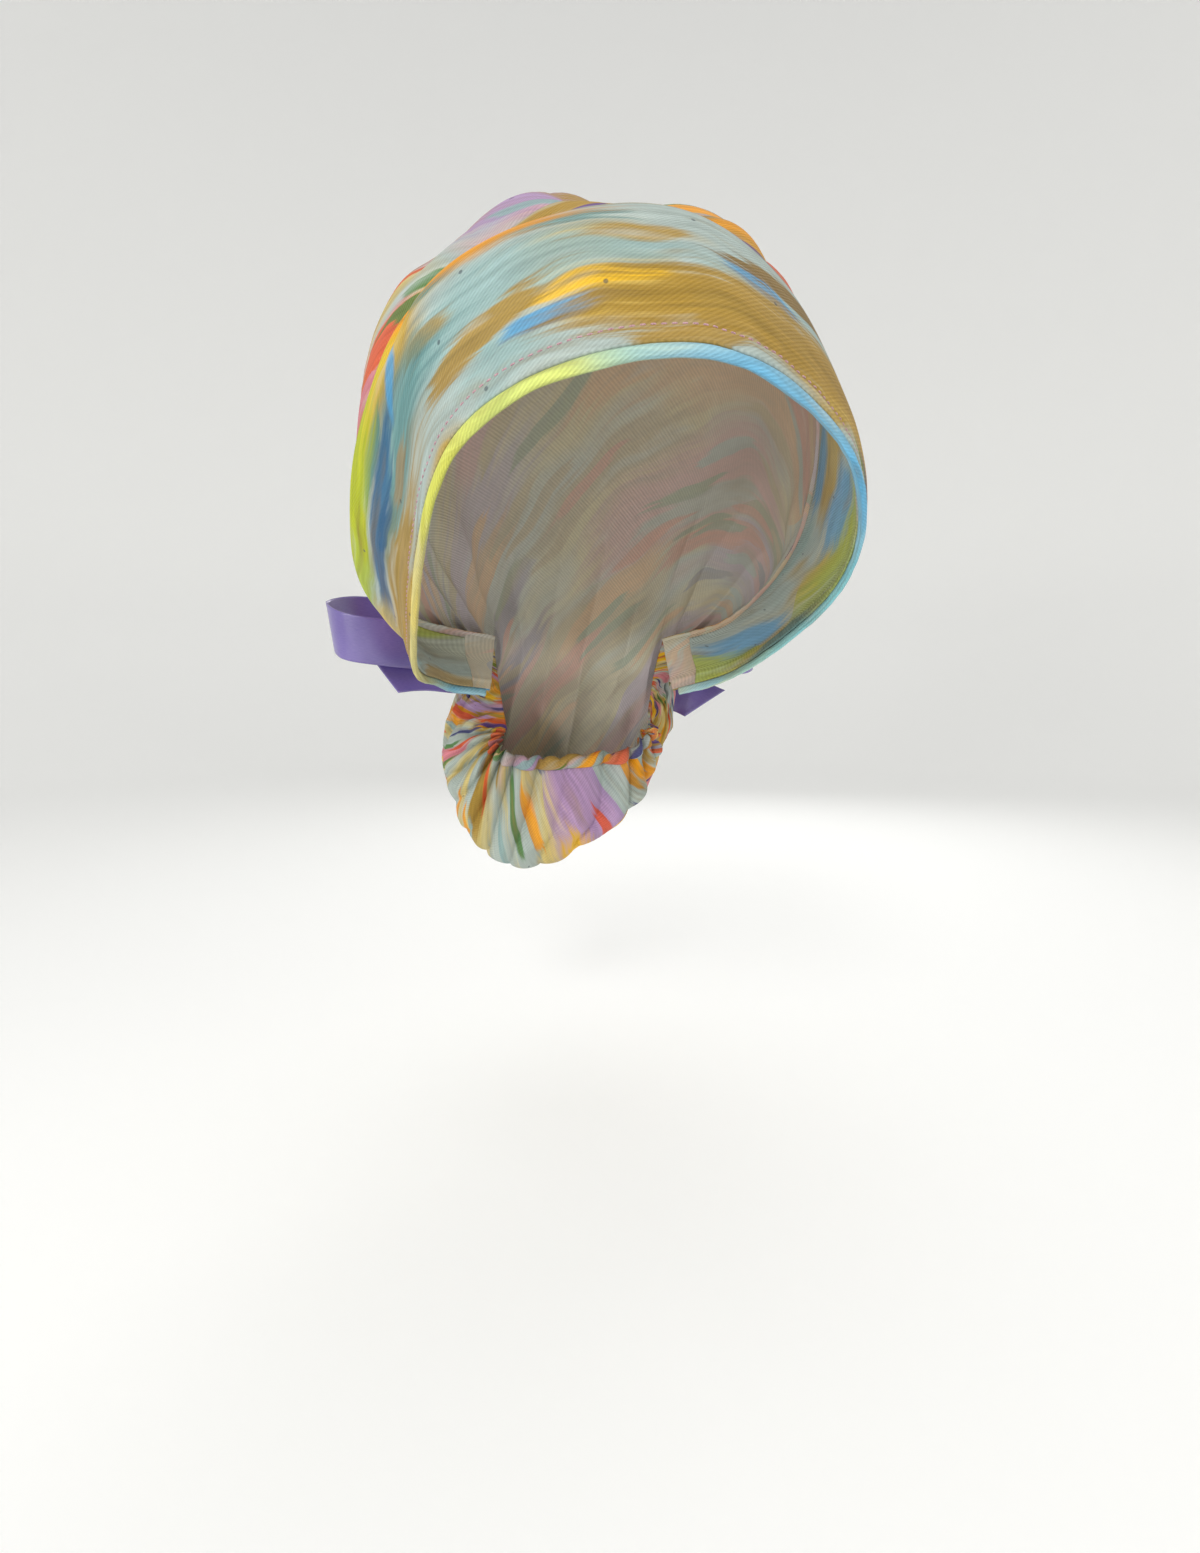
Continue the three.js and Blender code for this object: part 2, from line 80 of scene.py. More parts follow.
# One row per section of the cloth, from the hem over the head to the elastic mouth of the pouch: its
# top, right and left points in mm, and how full it is between them on the right and the left
SECTIONS = table("name top right left full", [
    ("hem", (-1, -99, -92), (-79, 25, -160), (84, -13, -136), (0.76, 0.67)),
    ("brow", (-3, -94, -72), (-84, 19, -142), (90, -6, -126), (0.76, 0.65)),
    ("rise", (-3, -83, -54), (-93, 15, -131), (88, 9, -118), (0.76, 0.66)),
    ("fore", (-4, -63, -41), (-98, 13, -123), (88, 22, -111), (0.72, 0.69)),
    ("seam", (-8, -40, -29), (-97, 16, -116), (90, 35, -103), (0.7, 0.73)),
    ("puff", (-10, -5, -8), (-96, 27, -105), (91, 47, -101), (0.75, 0.77)),
    ("crown", (-8, 36, 4), (-99, 43, -98), (93, 58, -100), (0.75, 0.75)),
    ("rear", (-5, 80, -15), (-92, 64, -102), (90, 70, -103), (0.77, 0.75)),
    ("back", (0, 112, -68), (-76, 88, -116), (79, 88, -115), (0.74, 0.74)),
    ("nape", (0, 121, -118), (-60, 102, -139), (64, 102, -137), (0.74, 0.74)),
    ("waist", (-2, 117, -156), (-48, 110, -158), (50, 110, -159), (0.74, 0.74)),
    ("pouch_top", (-8, 134, -182), (-59, 116, -181), (51, 112, -179), (0.72, 0.72)),
    ("pouch_back", (-14, 148, -219), (-67, 118, -199), (49, 116, -199), (0.71, 0.71)),
    ("pouch_low", (-21, 140, -254), (-67, 116, -215), (44, 116, -214), (0.71, 0.8)),
    ("pouch_base", (-26, 118, -267), (-65, 110, -220), (37, 110, -216), (0.7, 0.64)),
    ("pouch_front", (-23, 102, -249), (-58, 104, -216), (39, 104, -212), (0.7, 0.72)),
    ("mouth", (-18, 97, -215), (-46, 100, -205), (36, 100, -203), (0.72, 0.72)),
])
SEAM_ROW = 4
LAST_ROW = len(SECTIONS) - 1
NAPE_FULL = 0.74
BAND_END = {"from": (46, 90, -175), "to": (43, 99, -151)}
CROWN_END = {"from": (43, 100.5, -151), "to": (37, 101, -194), "bow": 9}
SECTION_SPACING = 32.0
SECTION_LENGTH = 400.0
SEAM_GAP = 0.005
SEAM_SPACING = 24.0
SEAM_LENGTH = 480.0
HEM_LENGTH = 520.0
FACING_INSET = 2 / 48
CROWN_CUT_WIDTH = 400

# Folds of the cloth: from (s, t) to (s, t), width and height in mm
FOLDS = table("name a b width height", [
    ("centre pleat", (3.0, 0.515), (5.6, 0.5), 8, -4.5),
    ("pleat ridge right", (3.5, 0.47), (5.8, 0.46), 11, 3.0),
    ("pleat ridge left", (3.6, 0.555), (6.0, 0.55), 12, 4.5),
    ("brow crease", (2.2, 0.36), (3.4, 0.46), 6, -2.2),
    ("temple drape", (1.2, 0.31), (2.6, 0.3), 14, 1.8),
    ("crown tuck right", (5.0, 0.4), (7.5, 0.42), 9, -3.0),
    ("crown tuck left", (5.0, 0.61), (7.5, 0.58), 9, -3.0),
    ("left side drape", (5.5, 0.75), (8.5, 0.66), 12, -3.5),
    ("right side drape", (5.5, 0.25), (8.5, 0.34), 12, -3.5),
    ("pouch fold right", (11.2, 0.36), (13.4, 0.3), 8, -3.5),
    ("pouch fold left", (11.2, 0.6), (13.4, 0.66), 8, -3.5),
])

# Gathers: folds across t, strongest at section "at" and gone after "reach" sections
GATHERS = table("name at reach waves height from to", [
    ("seam pleats", 4.3, 1.7, 21, 1.3, 0.38, 0.68),
    ("waist gathers", 10, 3.4, 17, 2.4, 0.04, 0.96),
    ("mouth gathers", 16, 3.6, 17, 3.0, 0.04, 0.96),
])

# Ribbon rows: offset from the knot, lean of the upper edge in degrees, open share of the width
RIBBON_COLUMNS = "at lean share"
LOOP_RIGHT = table(RIBBON_COLUMNS, [
    ((-9.0, 2.6, 3), 0, 0.5),
    ((-26, 6, 6), 2, 0.85),
    ((-52, 9.5, 12), 4, 1),
    ((-80, 8, 17.5), 6, 1),
    ((-102, -1, 19), 6, 1),
    ((-113, -19, 14), 8, 1),
    ((-106, -33.5, 7.5), 10, 1),
    ((-88, -33.5, 4.5), 8, 1),
    ((-62, -17.5, 3), 4, 1),
    ((-34, -4.9, 1.5), 0, 0.8),
    ((-9.0, -0.7, 2.5), 0, 0.5),
])
LOOP_LEFT = table(RIBBON_COLUMNS, [
    ((9.0, 2.6, 3), 0, 0.5),
    ((26, 5.5, 4), 2, 0.85),
    ((50, 8.5, 7), 4, 1),
    ((76, 7, 9), 6, 1),
    ((96, 1, 9), 6, 1),
    ((106, -10, 6), 4, 1),
    ((99, -19.5, 2), 0, 1),
    ((84, -19.5, 1.5), -2, 1),
    ((60, -9.5, 2), -2, 1),
    ((33, -3, 1.5), 0, 0.8),
    ((9.0, -0.7, 2.5), 0, 0.5),
])
TAIL_RIGHT = table(RIBBON_COLUMNS, [
    ((-8.9, 0.6, -6.8), 0, 0.28),
    ((-26, -0.5, -8), 8, 0.7),
    ((-48, -5, -9), 10, 1),
    ((-70, -14, -7.5), 8, 1),
    ((-89, -25, -9), 4, 1),
])
TAIL_LEFT = table(RIBBON_COLUMNS, [
    ((8.9, 0.6, -6.8), 0, 0.28),
    ((26, 1.5, -9.5), -6, 0.7),
    ((46, -1, -13), -8, 1),
    ((65, -5, -18), -10, 1),
    ((80, -12, -25), -12, 1),
])


# Cloth surface

def smooth01(x):
    k = np.clip(x, 0, 1)
    return k * k * (3 - 2 * k)


def blend_four(before, a, b, after, f):
    """Spline value between a and b at f, with the rows on either side."""
    return 0.5 * (
        2 * a + (b - before) * f
        + (2 * before - 5 * a + 4 * b - after) * f ** 2
        + (3 * a - before - 3 * b + after) * f ** 3
    )


def spline_rows(rows, u):
    """Spline through rows of numbers at u, in row units."""
    rows = np.asarray(rows, float)
    last = len(rows) - 1
    u = np.clip(np.asarray(u, float), 0, last)
    i = np.minimum(u.astype(int), last - 1)
    f = (u - i)[:, None]
    a = rows[i]
    b = rows[i + 1]
    before = np.where((i > 0)[:, None], rows[np.maximum(i - 1, 0)], 2 * a - b)
    after = np.where((i + 2 <= last)[:, None], rows[np.minimum(i + 2, last)], 2 * b - a)
    return blend_four(before, a, b, after, f)


def section_end(i, sign):
    if i <= SEAM_ROW:
        a, b = np.array(BAND_END["from"], float), np.array(BAND_END["to"], float)
        end = a + (b - a) * i / SEAM_ROW
    else:
        k = (i - SEAM_ROW) / (LAST_ROW - SEAM_ROW)
        a, b = np.array(CROWN_END["from"], float), np.array(CROWN_END["to"], float)
        end = a + (b - a) * k
        end[1] += CROWN_END["bow"] * math.sin(math.pi * k)
    return end * (sign, 1, 1)


def shoulder(a, b, full):
    corner = np.array([a[0], b[1], b[2]])
    return corner * (1 - 2 * full) + full * (a + b)


def section_points(row, i):
    """Nine points along one section, from the wearer's right end to the left end."""
    end_right, end_left = section_end(i, -1), section_end(i, 1)
    top, right, left = (np.array(row[k], float) for k in ("top", "right", "left"))
    return np.array([
        end_right,
        shoulder(end_right, right, NAPE_FULL),
        right,
        shoulder(top, right, row["full"][0]),
        top,
        shoulder(top, left, row["full"][1]),
        left,
        shoulder(end_left, left, NAPE_FULL),
        end_left,
    ])


SECTION_ROWS = np.array([section_points(row, i).ravel() for i, row in enumerate(SECTIONS)])


def bare(s, t):
    """Smooth cloth surface without relief, for arrays s and t of one shape."""
    s, t = np.broadcast_arrays(np.asarray(s, float), np.asarray(t, float))
    points = spline_rows(SECTION_ROWS, s.ravel()).reshape(-1, 9, 3)
    u = np.clip(t.ravel() * 8, 0, 8)
    i = np.minimum(u.astype(int), 7)
    f = (u - i)[:, None]
    n = np.arange(len(u))
    a = points[n, i]
    b = points[n, i + 1]
    before = np.where((i > 0)[:, None], points[n, np.maximum(i - 1, 0)], 2 * a - b)
    after = np.where((i + 2 <= 8)[:, None], points[n, np.minimum(i + 2, 8)], 2 * b - a)
    return blend_four(before, a, b, after, f).reshape(*s.shape, 3)


def unit(v):
    return v / np.maximum(np.linalg.norm(v, axis=-1, keepdims=True), 1e-9)


def normal_at(s, t, ds=0.04, dt=0.006):
    s, t = np.broadcast_arrays(np.asarray(s, float), np.asarray(t, float))
    along = bare(s, np.minimum(t + dt, 1)) - bare(s, np.maximum(t - dt, 0))
    across = bare(np.minimum(s + ds, LAST_ROW), t) - bare(np.maximum(s - ds, 0), t)
    return unit(np.cross(along, across))


def soft_noise(x, y, seed):
    """Smooth noise from -1 to 1 on a unit lattice."""
    lattice = np.random.RandomState(seed).uniform(-1, 1, (64, 64))
    i, j = np.floor(x).astype(int), np.floor(y).astype(int)
    f, g = smooth01(x - i), smooth01(y - j)
    low = lattice[i % 64, j % 64] * (1 - f) + lattice[(i + 1) % 64, j % 64] * f
    high = lattice[i % 64, (j + 1) % 64] * (1 - f) + lattice[(i + 1) % 64, (j + 1) % 64] * f
    return low * (1 - g) + high * g


def fold_relief(s, t):
    """Height of the named folds, as in the part."""
    h = np.zeros(np.broadcast(s, t).shape)
    p, q = s * SECTION_SPACING, t * SECTION_LENGTH
    for fold in FOLDS:
        a = np.array([fold["a"][0] * SECTION_SPACING, fold["a"][1] * SECTION_LENGTH])
        b = np.array([fold["b"][0] * SECTION_SPACING, fold["b"][1] * SECTION_LENGTH])
        d = b - a
        k = np.clip(((p - a[0]) * d[0] + (q - a[1]) * d[1]) / (d @ d), 0, 1)
        off = np.hypot(p - a[0] - k * d[0], q - a[1] - k * d[1])
        h = h + fold["height"] * np.exp(-((off / fold["width"]) ** 2))
    return h


def gather_relief(s, t):
    """Rounded tubes with narrow valleys between them, uneven in width and height."""
    h = np.zeros(np.broadcast(s, t).shape)
    for k, g in enumerate(GATHERS):
        fade = 1 - smooth01(np.abs(s - g["at"]) / g["reach"])
        edge = smooth01((t - g["from"]) / 0.08) * smooth01((g["to"] - t) / 0.08)
        drift = 0.25 * soft_noise(t * g["waves"] * 0.6, s * 0.7, 11 + k)
        phase = math.pi * (g["waves"] * t + drift)
        tube = 2 * np.abs(np.sin(phase)) ** 0.75 - 1
        uneven = 1 + 0.4 * soft_noise(t * g["waves"] * 0.9, s * 0.5, 21 + k)
        h = h + g["height"] * fade * edge * tube * uneven
    return h


def fine_relief(s, t):
    """Soft crumples of worn cotton, stronger toward the gathers."""
    u, v = t * SECTION_LENGTH, s * SECTION_SPACING
    broad = soft_noise(u / 52 + v / 160, v / 40 - u / 210, 31)
    small = soft_noise(u / 21 - v / 70, v / 17 + u / 90, 32)
    tiny = soft_noise(u / 8 + v / 31, v / 7 - u / 37, 33)
    crown = smooth01((s - SEAM_ROW) / 0.6)
    pouch = smooth01((s - 9) / 2)
    folded = 1 - np.abs(soft_noise(u / 27 + v / 60, v / 34 - u / 80, 34)) * 2
    soft = broad * (0.5 + 0.9 * crown) + small * (0.18 + 0.45 * crown + 0.6 * pouch)
    return soft + tiny * (0.05 + 0.1 * crown) + folded * (0.9 * crown + 0.7 * pouch)


def relief(s, t):
    ends = smooth01(t / 0.06) * smooth01((1 - t) / 0.06)
    return (fold_relief(s, t) + gather_relief(s, t) + fine_relief(s, t)) * ends


def hem_step(t):
    """Length in mm of one section beside the band's edge."""
    return np.linalg.norm(bare(0.1 + 0 * t, t) - bare(0 * t, t), axis=-1) * 10


def hem_detail(s, t):
    """The groove that the topstitching pulls in, and the puckers beside it."""
    d = s * hem_step(t)
    u = t * HEM_LENGTH
    groove = -0.45 * np.exp(-(((d - STITCH_INSET) / 0.9) ** 2))
    pucker = soft_noise(u / 4.2, d / 9, 41) * 0.28 * np.exp(-(((d - STITCH_INSET) / 4.5) ** 2))
    return groove + pucker


def seam_detail(s, t):
    """Cloth rolls in at the seam on both of its sides."""
    d = np.abs(s - SEAM_ROW) * SEAM_SPACING
    u = t * SEAM_LENGTH
    roll = -1.3 * np.exp(-((d / 1.8) ** 2))
    pucker = soft_noise(u / 5, s * 2, 42) * 0.35 * np.exp(-((d / 7) ** 2))
    return roll + pucker


def cloth(s, t, lift=0.0):
    """Cloth surface with relief, lifted by an extra distance along the normal."""
    s, t = np.broadcast_arrays(np.asarray(s, float), np.asarray(t, float))
    height = relief(s, t) + hem_detail(s, t) + seam_detail(s, t) + lift
    return bare(s, t) + normal_at(s, t) * height[..., None]


# Meshes

def to_frame(points):
    """From the tables' millimetres to metres in the part's frame."""
    return (np.asarray(points, float) - HEAD_SEAT) * MM


def new_object(name, verts, faces, uv=None, materials=(), face_material=None):
    mesh = bpy.data.meshes.new(name)
    mesh.from_pydata(to_frame(verts).tolist(), [], faces)
    for material in materials:
        mesh.materials.append(material)
    if face_material is not None:
        mesh.polygons.foreach_set("material_index", np.asarray(face_material, np.int32))
    if uv is not None:
        layer = mesh.uv_layers.new(name="flat")
        index = np.empty(len(mesh.loops), np.int32)
        mesh.loops.foreach_get("vertex_index", index)
        layer.data.foreach_set("uv", (np.asarray(uv, float)[index] * MM).ravel())
    mesh.polygons.foreach_set("use_smooth", np.ones(len(mesh.polygons), bool))
    mesh.update()
    obj = bpy.data.objects.new(name, mesh)
    scene.collection.objects.link(obj)
    bm = bmesh.new()
    bm.from_mesh(mesh)
    bmesh.ops.recalc_face_normals(bm, faces=bm.faces)
    bm.to_mesh(mesh)
    bm.free()
    return obj


def flat_layout(points):
    """The cloth laid flat: u along the section from its middle, v across the sections, in mm."""
    along = np.linalg.norm(np.diff(points, axis=1), axis=2)
    across = np.linalg.norm(np.diff(points, axis=0), axis=2)
    u = np.concatenate([np.zeros((len(points), 1)), np.cumsum(along, axis=1)], axis=1)
    u -= u[:, [u.shape[1] // 2]]
    v = np.concatenate([np.zeros((1, points.shape[1])), np.cumsum(across, axis=0)], axis=0)
    return np.stack([u, v], axis=-1)


def sheet_wall(name, layers, uv, materials):
    """Closed wall between an outer and an inner layer of one grid, with its first and last row rounded
    over by a ridge that stands past the edge."""
    outer, inner = layers
    rows, cols = outer.shape[:2]
    middle = (outer + inner) / 2
    half = np.linalg.norm(outer - inner, axis=2, keepdims=True) / 2
    rim_first = middle[0] + unit(middle[0] - middle[1]) * half[0]
    rim_last = middle[-1] + unit(middle[-1] - middle[-2]) * half[-1]
    verts = np.concatenate([outer.reshape(-1, 3), inner.reshape(-1, 3), rim_first, rim_last])
    flat = np.concatenate([uv.reshape(-1, 2), uv.reshape(-1, 2), uv[0], uv[-1]])
    index = np.arange(rows * cols).reshape(rows, cols)
    back = index + rows * cols
    first = 2 * rows * cols + np.arange(cols)
    last = first + cols

    def quads(a, b):
        return np.stack([a[:-1], a[1:], b[1:], b[:-1]], axis=1).tolist()

    faces = []
    slots = []
    for i in range(rows - 1):
        faces += quads(index[i], index[i + 1])
        slots += [0] * (cols - 1)
    for i in range(rows - 1):
        faces += quads(back[i + 1], back[i])
        slots += [1] * (cols - 1)
    for a, b in ((first, index[0]), (back[0], first), (index[-1], last), (last, back[-1])):
        faces += quads(a, b)
        slots += [0] * (cols - 1)
    for side in (0, -1):
        faces += quads(index[:, side], back[:, side])
        slots += [0] * (rows - 1)
        faces.append([index[0, side], back[0, side], first[side]])
        faces.append([index[-1, side], last[side], back[-1, side]])
        slots += [0, 0]
    return new_object(name, verts, faces, flat, materials, slots)


def tube(name, rings, uv, materials):
    """Closed tube through equal rings, capped at both ends."""
    steps, sides = rings.shape[:2]
    centres = rings[[0, -1]].mean(axis=1)
    verts = np.concatenate([rings.reshape(-1, 3), centres])
    flat = np.concatenate([uv.reshape(-1, 2), uv[[0, -1], 0]])
    faces = []
    for i in range(steps - 1):
        a = i * sides + np.arange(sides)
        b = i * sides + (np.arange(sides) + 1) % sides
        faces += np.stack([a, b, b + sides, a + sides], axis=1).tolist()
    for end, base in ((0, 0), (1, (steps - 1) * sides)):
        for k in range(sides):
            faces.append([steps * sides + end, base + k, base + (k + 1) % sides])
    return new_object(name, verts, faces, flat, materials)


# Materials

def linear(hex_colour):
    """sRGB hex to linear RGBA."""
    parts = [int(hex_colour[i:i + 2], 16) / 255 for i in (1, 3, 5)]
    return [c / 12.92 if c <= 0.04045 else ((c + 0.055) / 1.055) ** 2.4 for c in parts] + [1.0]


def add(tree, kind, inputs=None, stops=None, interpolation="LINEAR", **settings):
    """Adds a node; inputs maps socket names or numbers to values or to other sockets."""
    made = tree.nodes.new("ShaderNode" + kind)
    for key, value in settings.items():
        setattr(made, key, value)
    if stops:
        made.color_ramp.interpolation = interpolation
        ramp = made.color_ramp.elements
        for position, colour in stops[1:-1]:
            ramp.new(position).color = linear(colour)
        ramp[0].position, ramp[0].color = stops[0][0], linear(stops[0][1])
        ramp[-1].position, ramp[-1].color = stops[-1][0], linear(stops[-1][1])
    for key, value in (inputs or {}).items():
        if isinstance(value, bpy.types.NodeSocket):
            tree.links.new(value, made.inputs[key])
        else:
            made.inputs[key].default_value = value
    return made


def new_material(name):
    material = bpy.data.materials.new(name)
    material.use_nodes = True
    material.node_tree.nodes.clear()
    return material, material.node_tree


# Cotton twill. 20-count yarns give a diagonal rib of about 0.6 mm; it is drawn 1.0 mm wide, because a
# finer rib falls between the picture's pixels.
TWILL_PITCH = 1.0


def twill_surface(tree, place, colour):
    """Finishes a cotton material: twill rib, uneven yarns, painted shade in the rib's valleys and soft
    sheen on the printed colour.
    """
    turned = add(tree, "Mapping", {"Vector": place, "Rotation": (0, 0, math.radians(58))})
    rib = add(tree, "TexWave", {
        "Vector": turned.outputs[0], "Scale": 1 / TWILL_PITCH * 2 * math.pi / 20,
        "Distortion": 0.6, "Detail": 1.0, "Detail Scale": 2.0,
    }, wave_type="BANDS", bands_direction="X", wave_profile="SIN")
    slub = add(tree, "Mapping", {"Vector": place, "Scale": (0.22, 2.2, 1)})
    yarn = add(tree, "TexNoise", {"Vector": slub.outputs[0], "Scale": 1.0, "Detail": 3.0, "Roughness": 0.6})
    height = add(tree, "Math", {
        0: yarn.outputs["Fac"], 1: 0.9, 2: rib.outputs["Fac"],
    }, operation="MULTIPLY_ADD").outputs[0]
    # The printed colour is darkened in the twill rib's valleys as painted shade, and varies at random with
    # the uneven yarns.
    shade = add(tree, "MapRange", {
        "Value": height, "From Min": 0.1, "From Max": 1.5, "To Min": 0.86, "To Max": 1.08,
    })
    shaded = {"Factor": 1.0, 6: colour, 7: shade.outputs[0]}
    toned = add(tree, "Mix", shaded, data_type="RGBA", blend_type="MULTIPLY").outputs[2]
    bump = add(tree, "Bump", {"Height": height, "Strength": 0.55, "Distance": 0.00025})
    shader = add(tree, "BsdfPrincipled", {
        "Base Color": toned, "Normal": bump.outputs[0], "Roughness": 0.9, "IOR": 1.5,
        "Specular IOR Level": 0.25, "Sheen Weight": 0.08, "Sheen Roughness": 0.5,
    })
    add(tree, "OutputMaterial", {"Surface": shader.outputs[0]})


def brush_marks(tree, vector):
    """Wobbled coordinates in mm, and the fine streaks that a brush's bristles leave along the hem."""
    slow = add(tree, "TexNoise", {"Vector": vector, "Scale": 0.024, "Detail": 1.5, "Roughness": 0.5})
    centred = add(tree, "VectorMath", {0: slow.outputs["Color"], 1: (0.5, 0.5, 0.5)}, operation="SUBTRACT")
    wobble = {0: centred.outputs[0], 1: (30, 16, 0), 2: vector}
    warped = add(tree, "VectorMath", wobble, operation="MULTIPLY_ADD").outputs[0]
    streaks = add(tree, "Mapping", {"Vector": warped, "Scale": (0.024, 0.42, 1)}).outputs[0]
    bristle = add(tree, "TexNoise", {"Vector": streaks, "Scale": 1.0, "Detail": 4.0, "Roughness": 0.65})
    return warped, bristle.outputs["Fac"]


def stroke_mask(tree, reach, bristle, edge, dry, cover):
    """Where a stroke covers: ragged at the edge where the brush was dry, soft where it was wet."""
    rough = 0.5 + 1.8 * dry
    ragged = add(tree, "Math", {0: bristle, 1: edge * rough, 2: reach}, operation="MULTIPLY_ADD")
    middle = edge * (1.0 + rough * 0.5)
    soft = edge * (0.42 - 0.3 * dry)
    mask = add(tree, "MapRange", {
        "Value": ragged.outputs[0], "From Min": middle + soft, "From Max": middle - soft, "To Max": cover,
    }, interpolation_type="SMOOTHSTEP")
    return mask.outputs[0]


def placed_strokes(tree, warped, bristle, colour, strokes):
    """Oval strokes from a table, each over the ones before it."""
    for stroke in strokes:
        local = add(tree, "Mapping", {
            "Vector": warped, "Location": (stroke["u"], stroke["v"], 0),
            "Rotation": (0, 0, math.radians(stroke["turn"])),
            "Scale": (stroke["length"] / 2, stroke["width"] / 2, 1),
        }, vector_type="TEXTURE")
        reach = add(tree, "VectorMath", {0: local.outputs[0]}, operation="LENGTH").outputs["Value"]
        mask = stroke_mask(tree, reach, bristle, 1.0, stroke["dry"], stroke["cover"])
        mixed = {"Factor": mask, 6: colour, 7: linear(stroke["colour"])}
        colour = add(tree, "Mix", mixed, data_type="RGBA").outputs[2]
    return colour


def scattered_strokes(tree, warped, bristle, colour, layers):
    """Layers of strokes strewn at random, one in each cell, with colours drawn from a list."""
    for layer in layers:
        cells = add(tree, "Mapping", {
            "Vector": warped, "Location": (layer["shift"], layer["shift"] / 3, 0),
            "Rotation": (0, 0, math.radians(layer["turn"])),
            "Scale": (1 / layer["length"], 1 / layer["width"], 1),
        })
        cell = add(tree, "TexVoronoi", {"Vector": cells.outputs[0], "Scale": 1.0}, voronoi_dimensions="2D")
        colours = [(k / len(layer["colours"]), c) for k, c in enumerate(layer["colours"])]
        pick = add(tree, "SeparateColor", {0: cell.outputs["Color"]})
        paint = add(tree, "ValToRGB", {"Fac": pick.outputs[0]}, stops=colours, interpolation="CONSTANT")
        reach = cell.outputs["Distance"]
        mask = stroke_mask(tree, reach, bristle, layer["edge"], layer["dry"], layer["cover"])
        mixed = {"Factor": mask, 6: colour, 7: paint.outputs[0]}
        colour = add(tree, "Mix", mixed, data_type="RGBA").outputs[2]
    return colour


# Where the wet paint washed out or pooled: noise from, noise to, and the tint there
WASHED_OUT = (0.58, 0.72, "#c2ccc6")
PIGMENT_POOLED = (0.45, 0.30, "#8a6f30")
SPECK = "#3d4a52"
FADED = "#dcdad0"


def brush_print(name, ground, strokes=(), layers=(), fade=0.0, specks=True, grain=0.0):
    """Cotton printed with broad watercolour strokes that run along the hem. strokes have their centre
    u and v, length, width and turn in mm and degrees, colour, cover and dry (0 wet, 1 dry). layers are for
    scattered_strokes. fade is how far the print pales on the wrong side. grain turns the whole print on
    its cloth, in degrees."""
    material, tree = new_material(name)
    uv = add(tree, "UVMap", uv_map="flat")
    mm = add(tree, "VectorMath", {0: uv.outputs[0], "Scale": 1 / MM}, operation="SCALE").outputs[0]
    turned = add(tree, "Mapping", {"Vector": mm, "Rotation": (0, 0, math.radians(grain))}).outputs[0]
    warped, bristle = brush_marks(tree, turned)
    wide = add(tree, "Mapping", {"Vector": warped, "Scale": (0.011, 0.035, 1)})
    wash = add(tree, "TexNoise", {"Vector": wide.outputs[0], "Scale": 1.0, "Detail": 2.0}).outputs["Fac"]
    colour = add(tree, "ValToRGB", {"Fac": wash}, stops=ground).outputs[0]
    colour = scattered_strokes(tree, warped, bristle, colour, layers)
    colour = placed_strokes(tree, warped, bristle, colour, strokes)
    bleed = add(tree, "Mapping", {"Vector": warped, "Location": (31, 17, 0), "Scale": (0.016, 0.11, 1)})
    wet = add(tree, "TexNoise", {"Vector": bleed.outputs[0], "Scale": 1.0, "Detail": 3.0, "Roughness": 0.6})
    for start, end, tint in WASHED_OUT, PIGMENT_POOLED:
        share = add(tree, "MapRange", {
            "Value": wet.outputs["Fac"], "From Min": start, "From Max": end, "To Max": 0.55,
        })
        mixed = {"Factor": share.outputs[0], 6: colour, 7: linear(tint)}
        colour = add(tree, "Mix", mixed, data_type="RGBA").outputs[2]
    tone = add(tree, "MapRange", {
        "Value": bristle, "From Min": 0.3, "From Max": 0.7, "To Min": 0.72, "To Max": 1.12,
    })
    toned = {"Factor": 1.0, 6: colour, 7: tone.outputs[0]}
    colour = add(tree, "Mix", toned, data_type="RGBA", blend_type="MULTIPLY").outputs[2]
    if specks:
        cell = add(tree, "TexVoronoi", {"Vector": mm, "Scale": 1 / 34}, voronoi_dimensions="2D")
        near = {"Value": cell.outputs["Distance"], "From Min": 0.022, "From Max": 0.014, "To Max": 0.7}
        dotted = {"Factor": add(tree, "MapRange", near).outputs[0], 6: colour, 7: linear(SPECK)}
        colour = add(tree, "Mix", dotted, data_type="RGBA").outputs[2]
    if fade:
        faded = {"Factor": fade, 6: colour, 7: linear(FADED)}
        colour = add(tree, "Mix", faded, data_type="RGBA").outputs[2]
    twill_surface(tree, mm, colour)
    return material


GOLD, OCHRE, AMBER, YELLOW = "#ad8a38", "#8c6a22", "#e89a10", "#f2bd1c"
LIME, OLIVE, GREEN, TEAL = "#aebf1c", "#74802a", "#4f7f3c", "#3f8080"
AQUA, SKY, BLUE, INDIGO = "#94b2b0", "#4f9fd0", "#23608f", "#3d3c78"
LILAC, PURPLE, ROSE, CORAL = "#b08fbe", "#5f3f8a", "#d67f8a", "#dc5a2c"
CREAM, MIST, SAND = "#cfbb76", "#adbab4", "#bd9c46"

WASH_GROUND = [(0.30, CREAM), (0.42, SAND), (0.50, MIST), (0.60, AQUA), (0.72, MIST)]

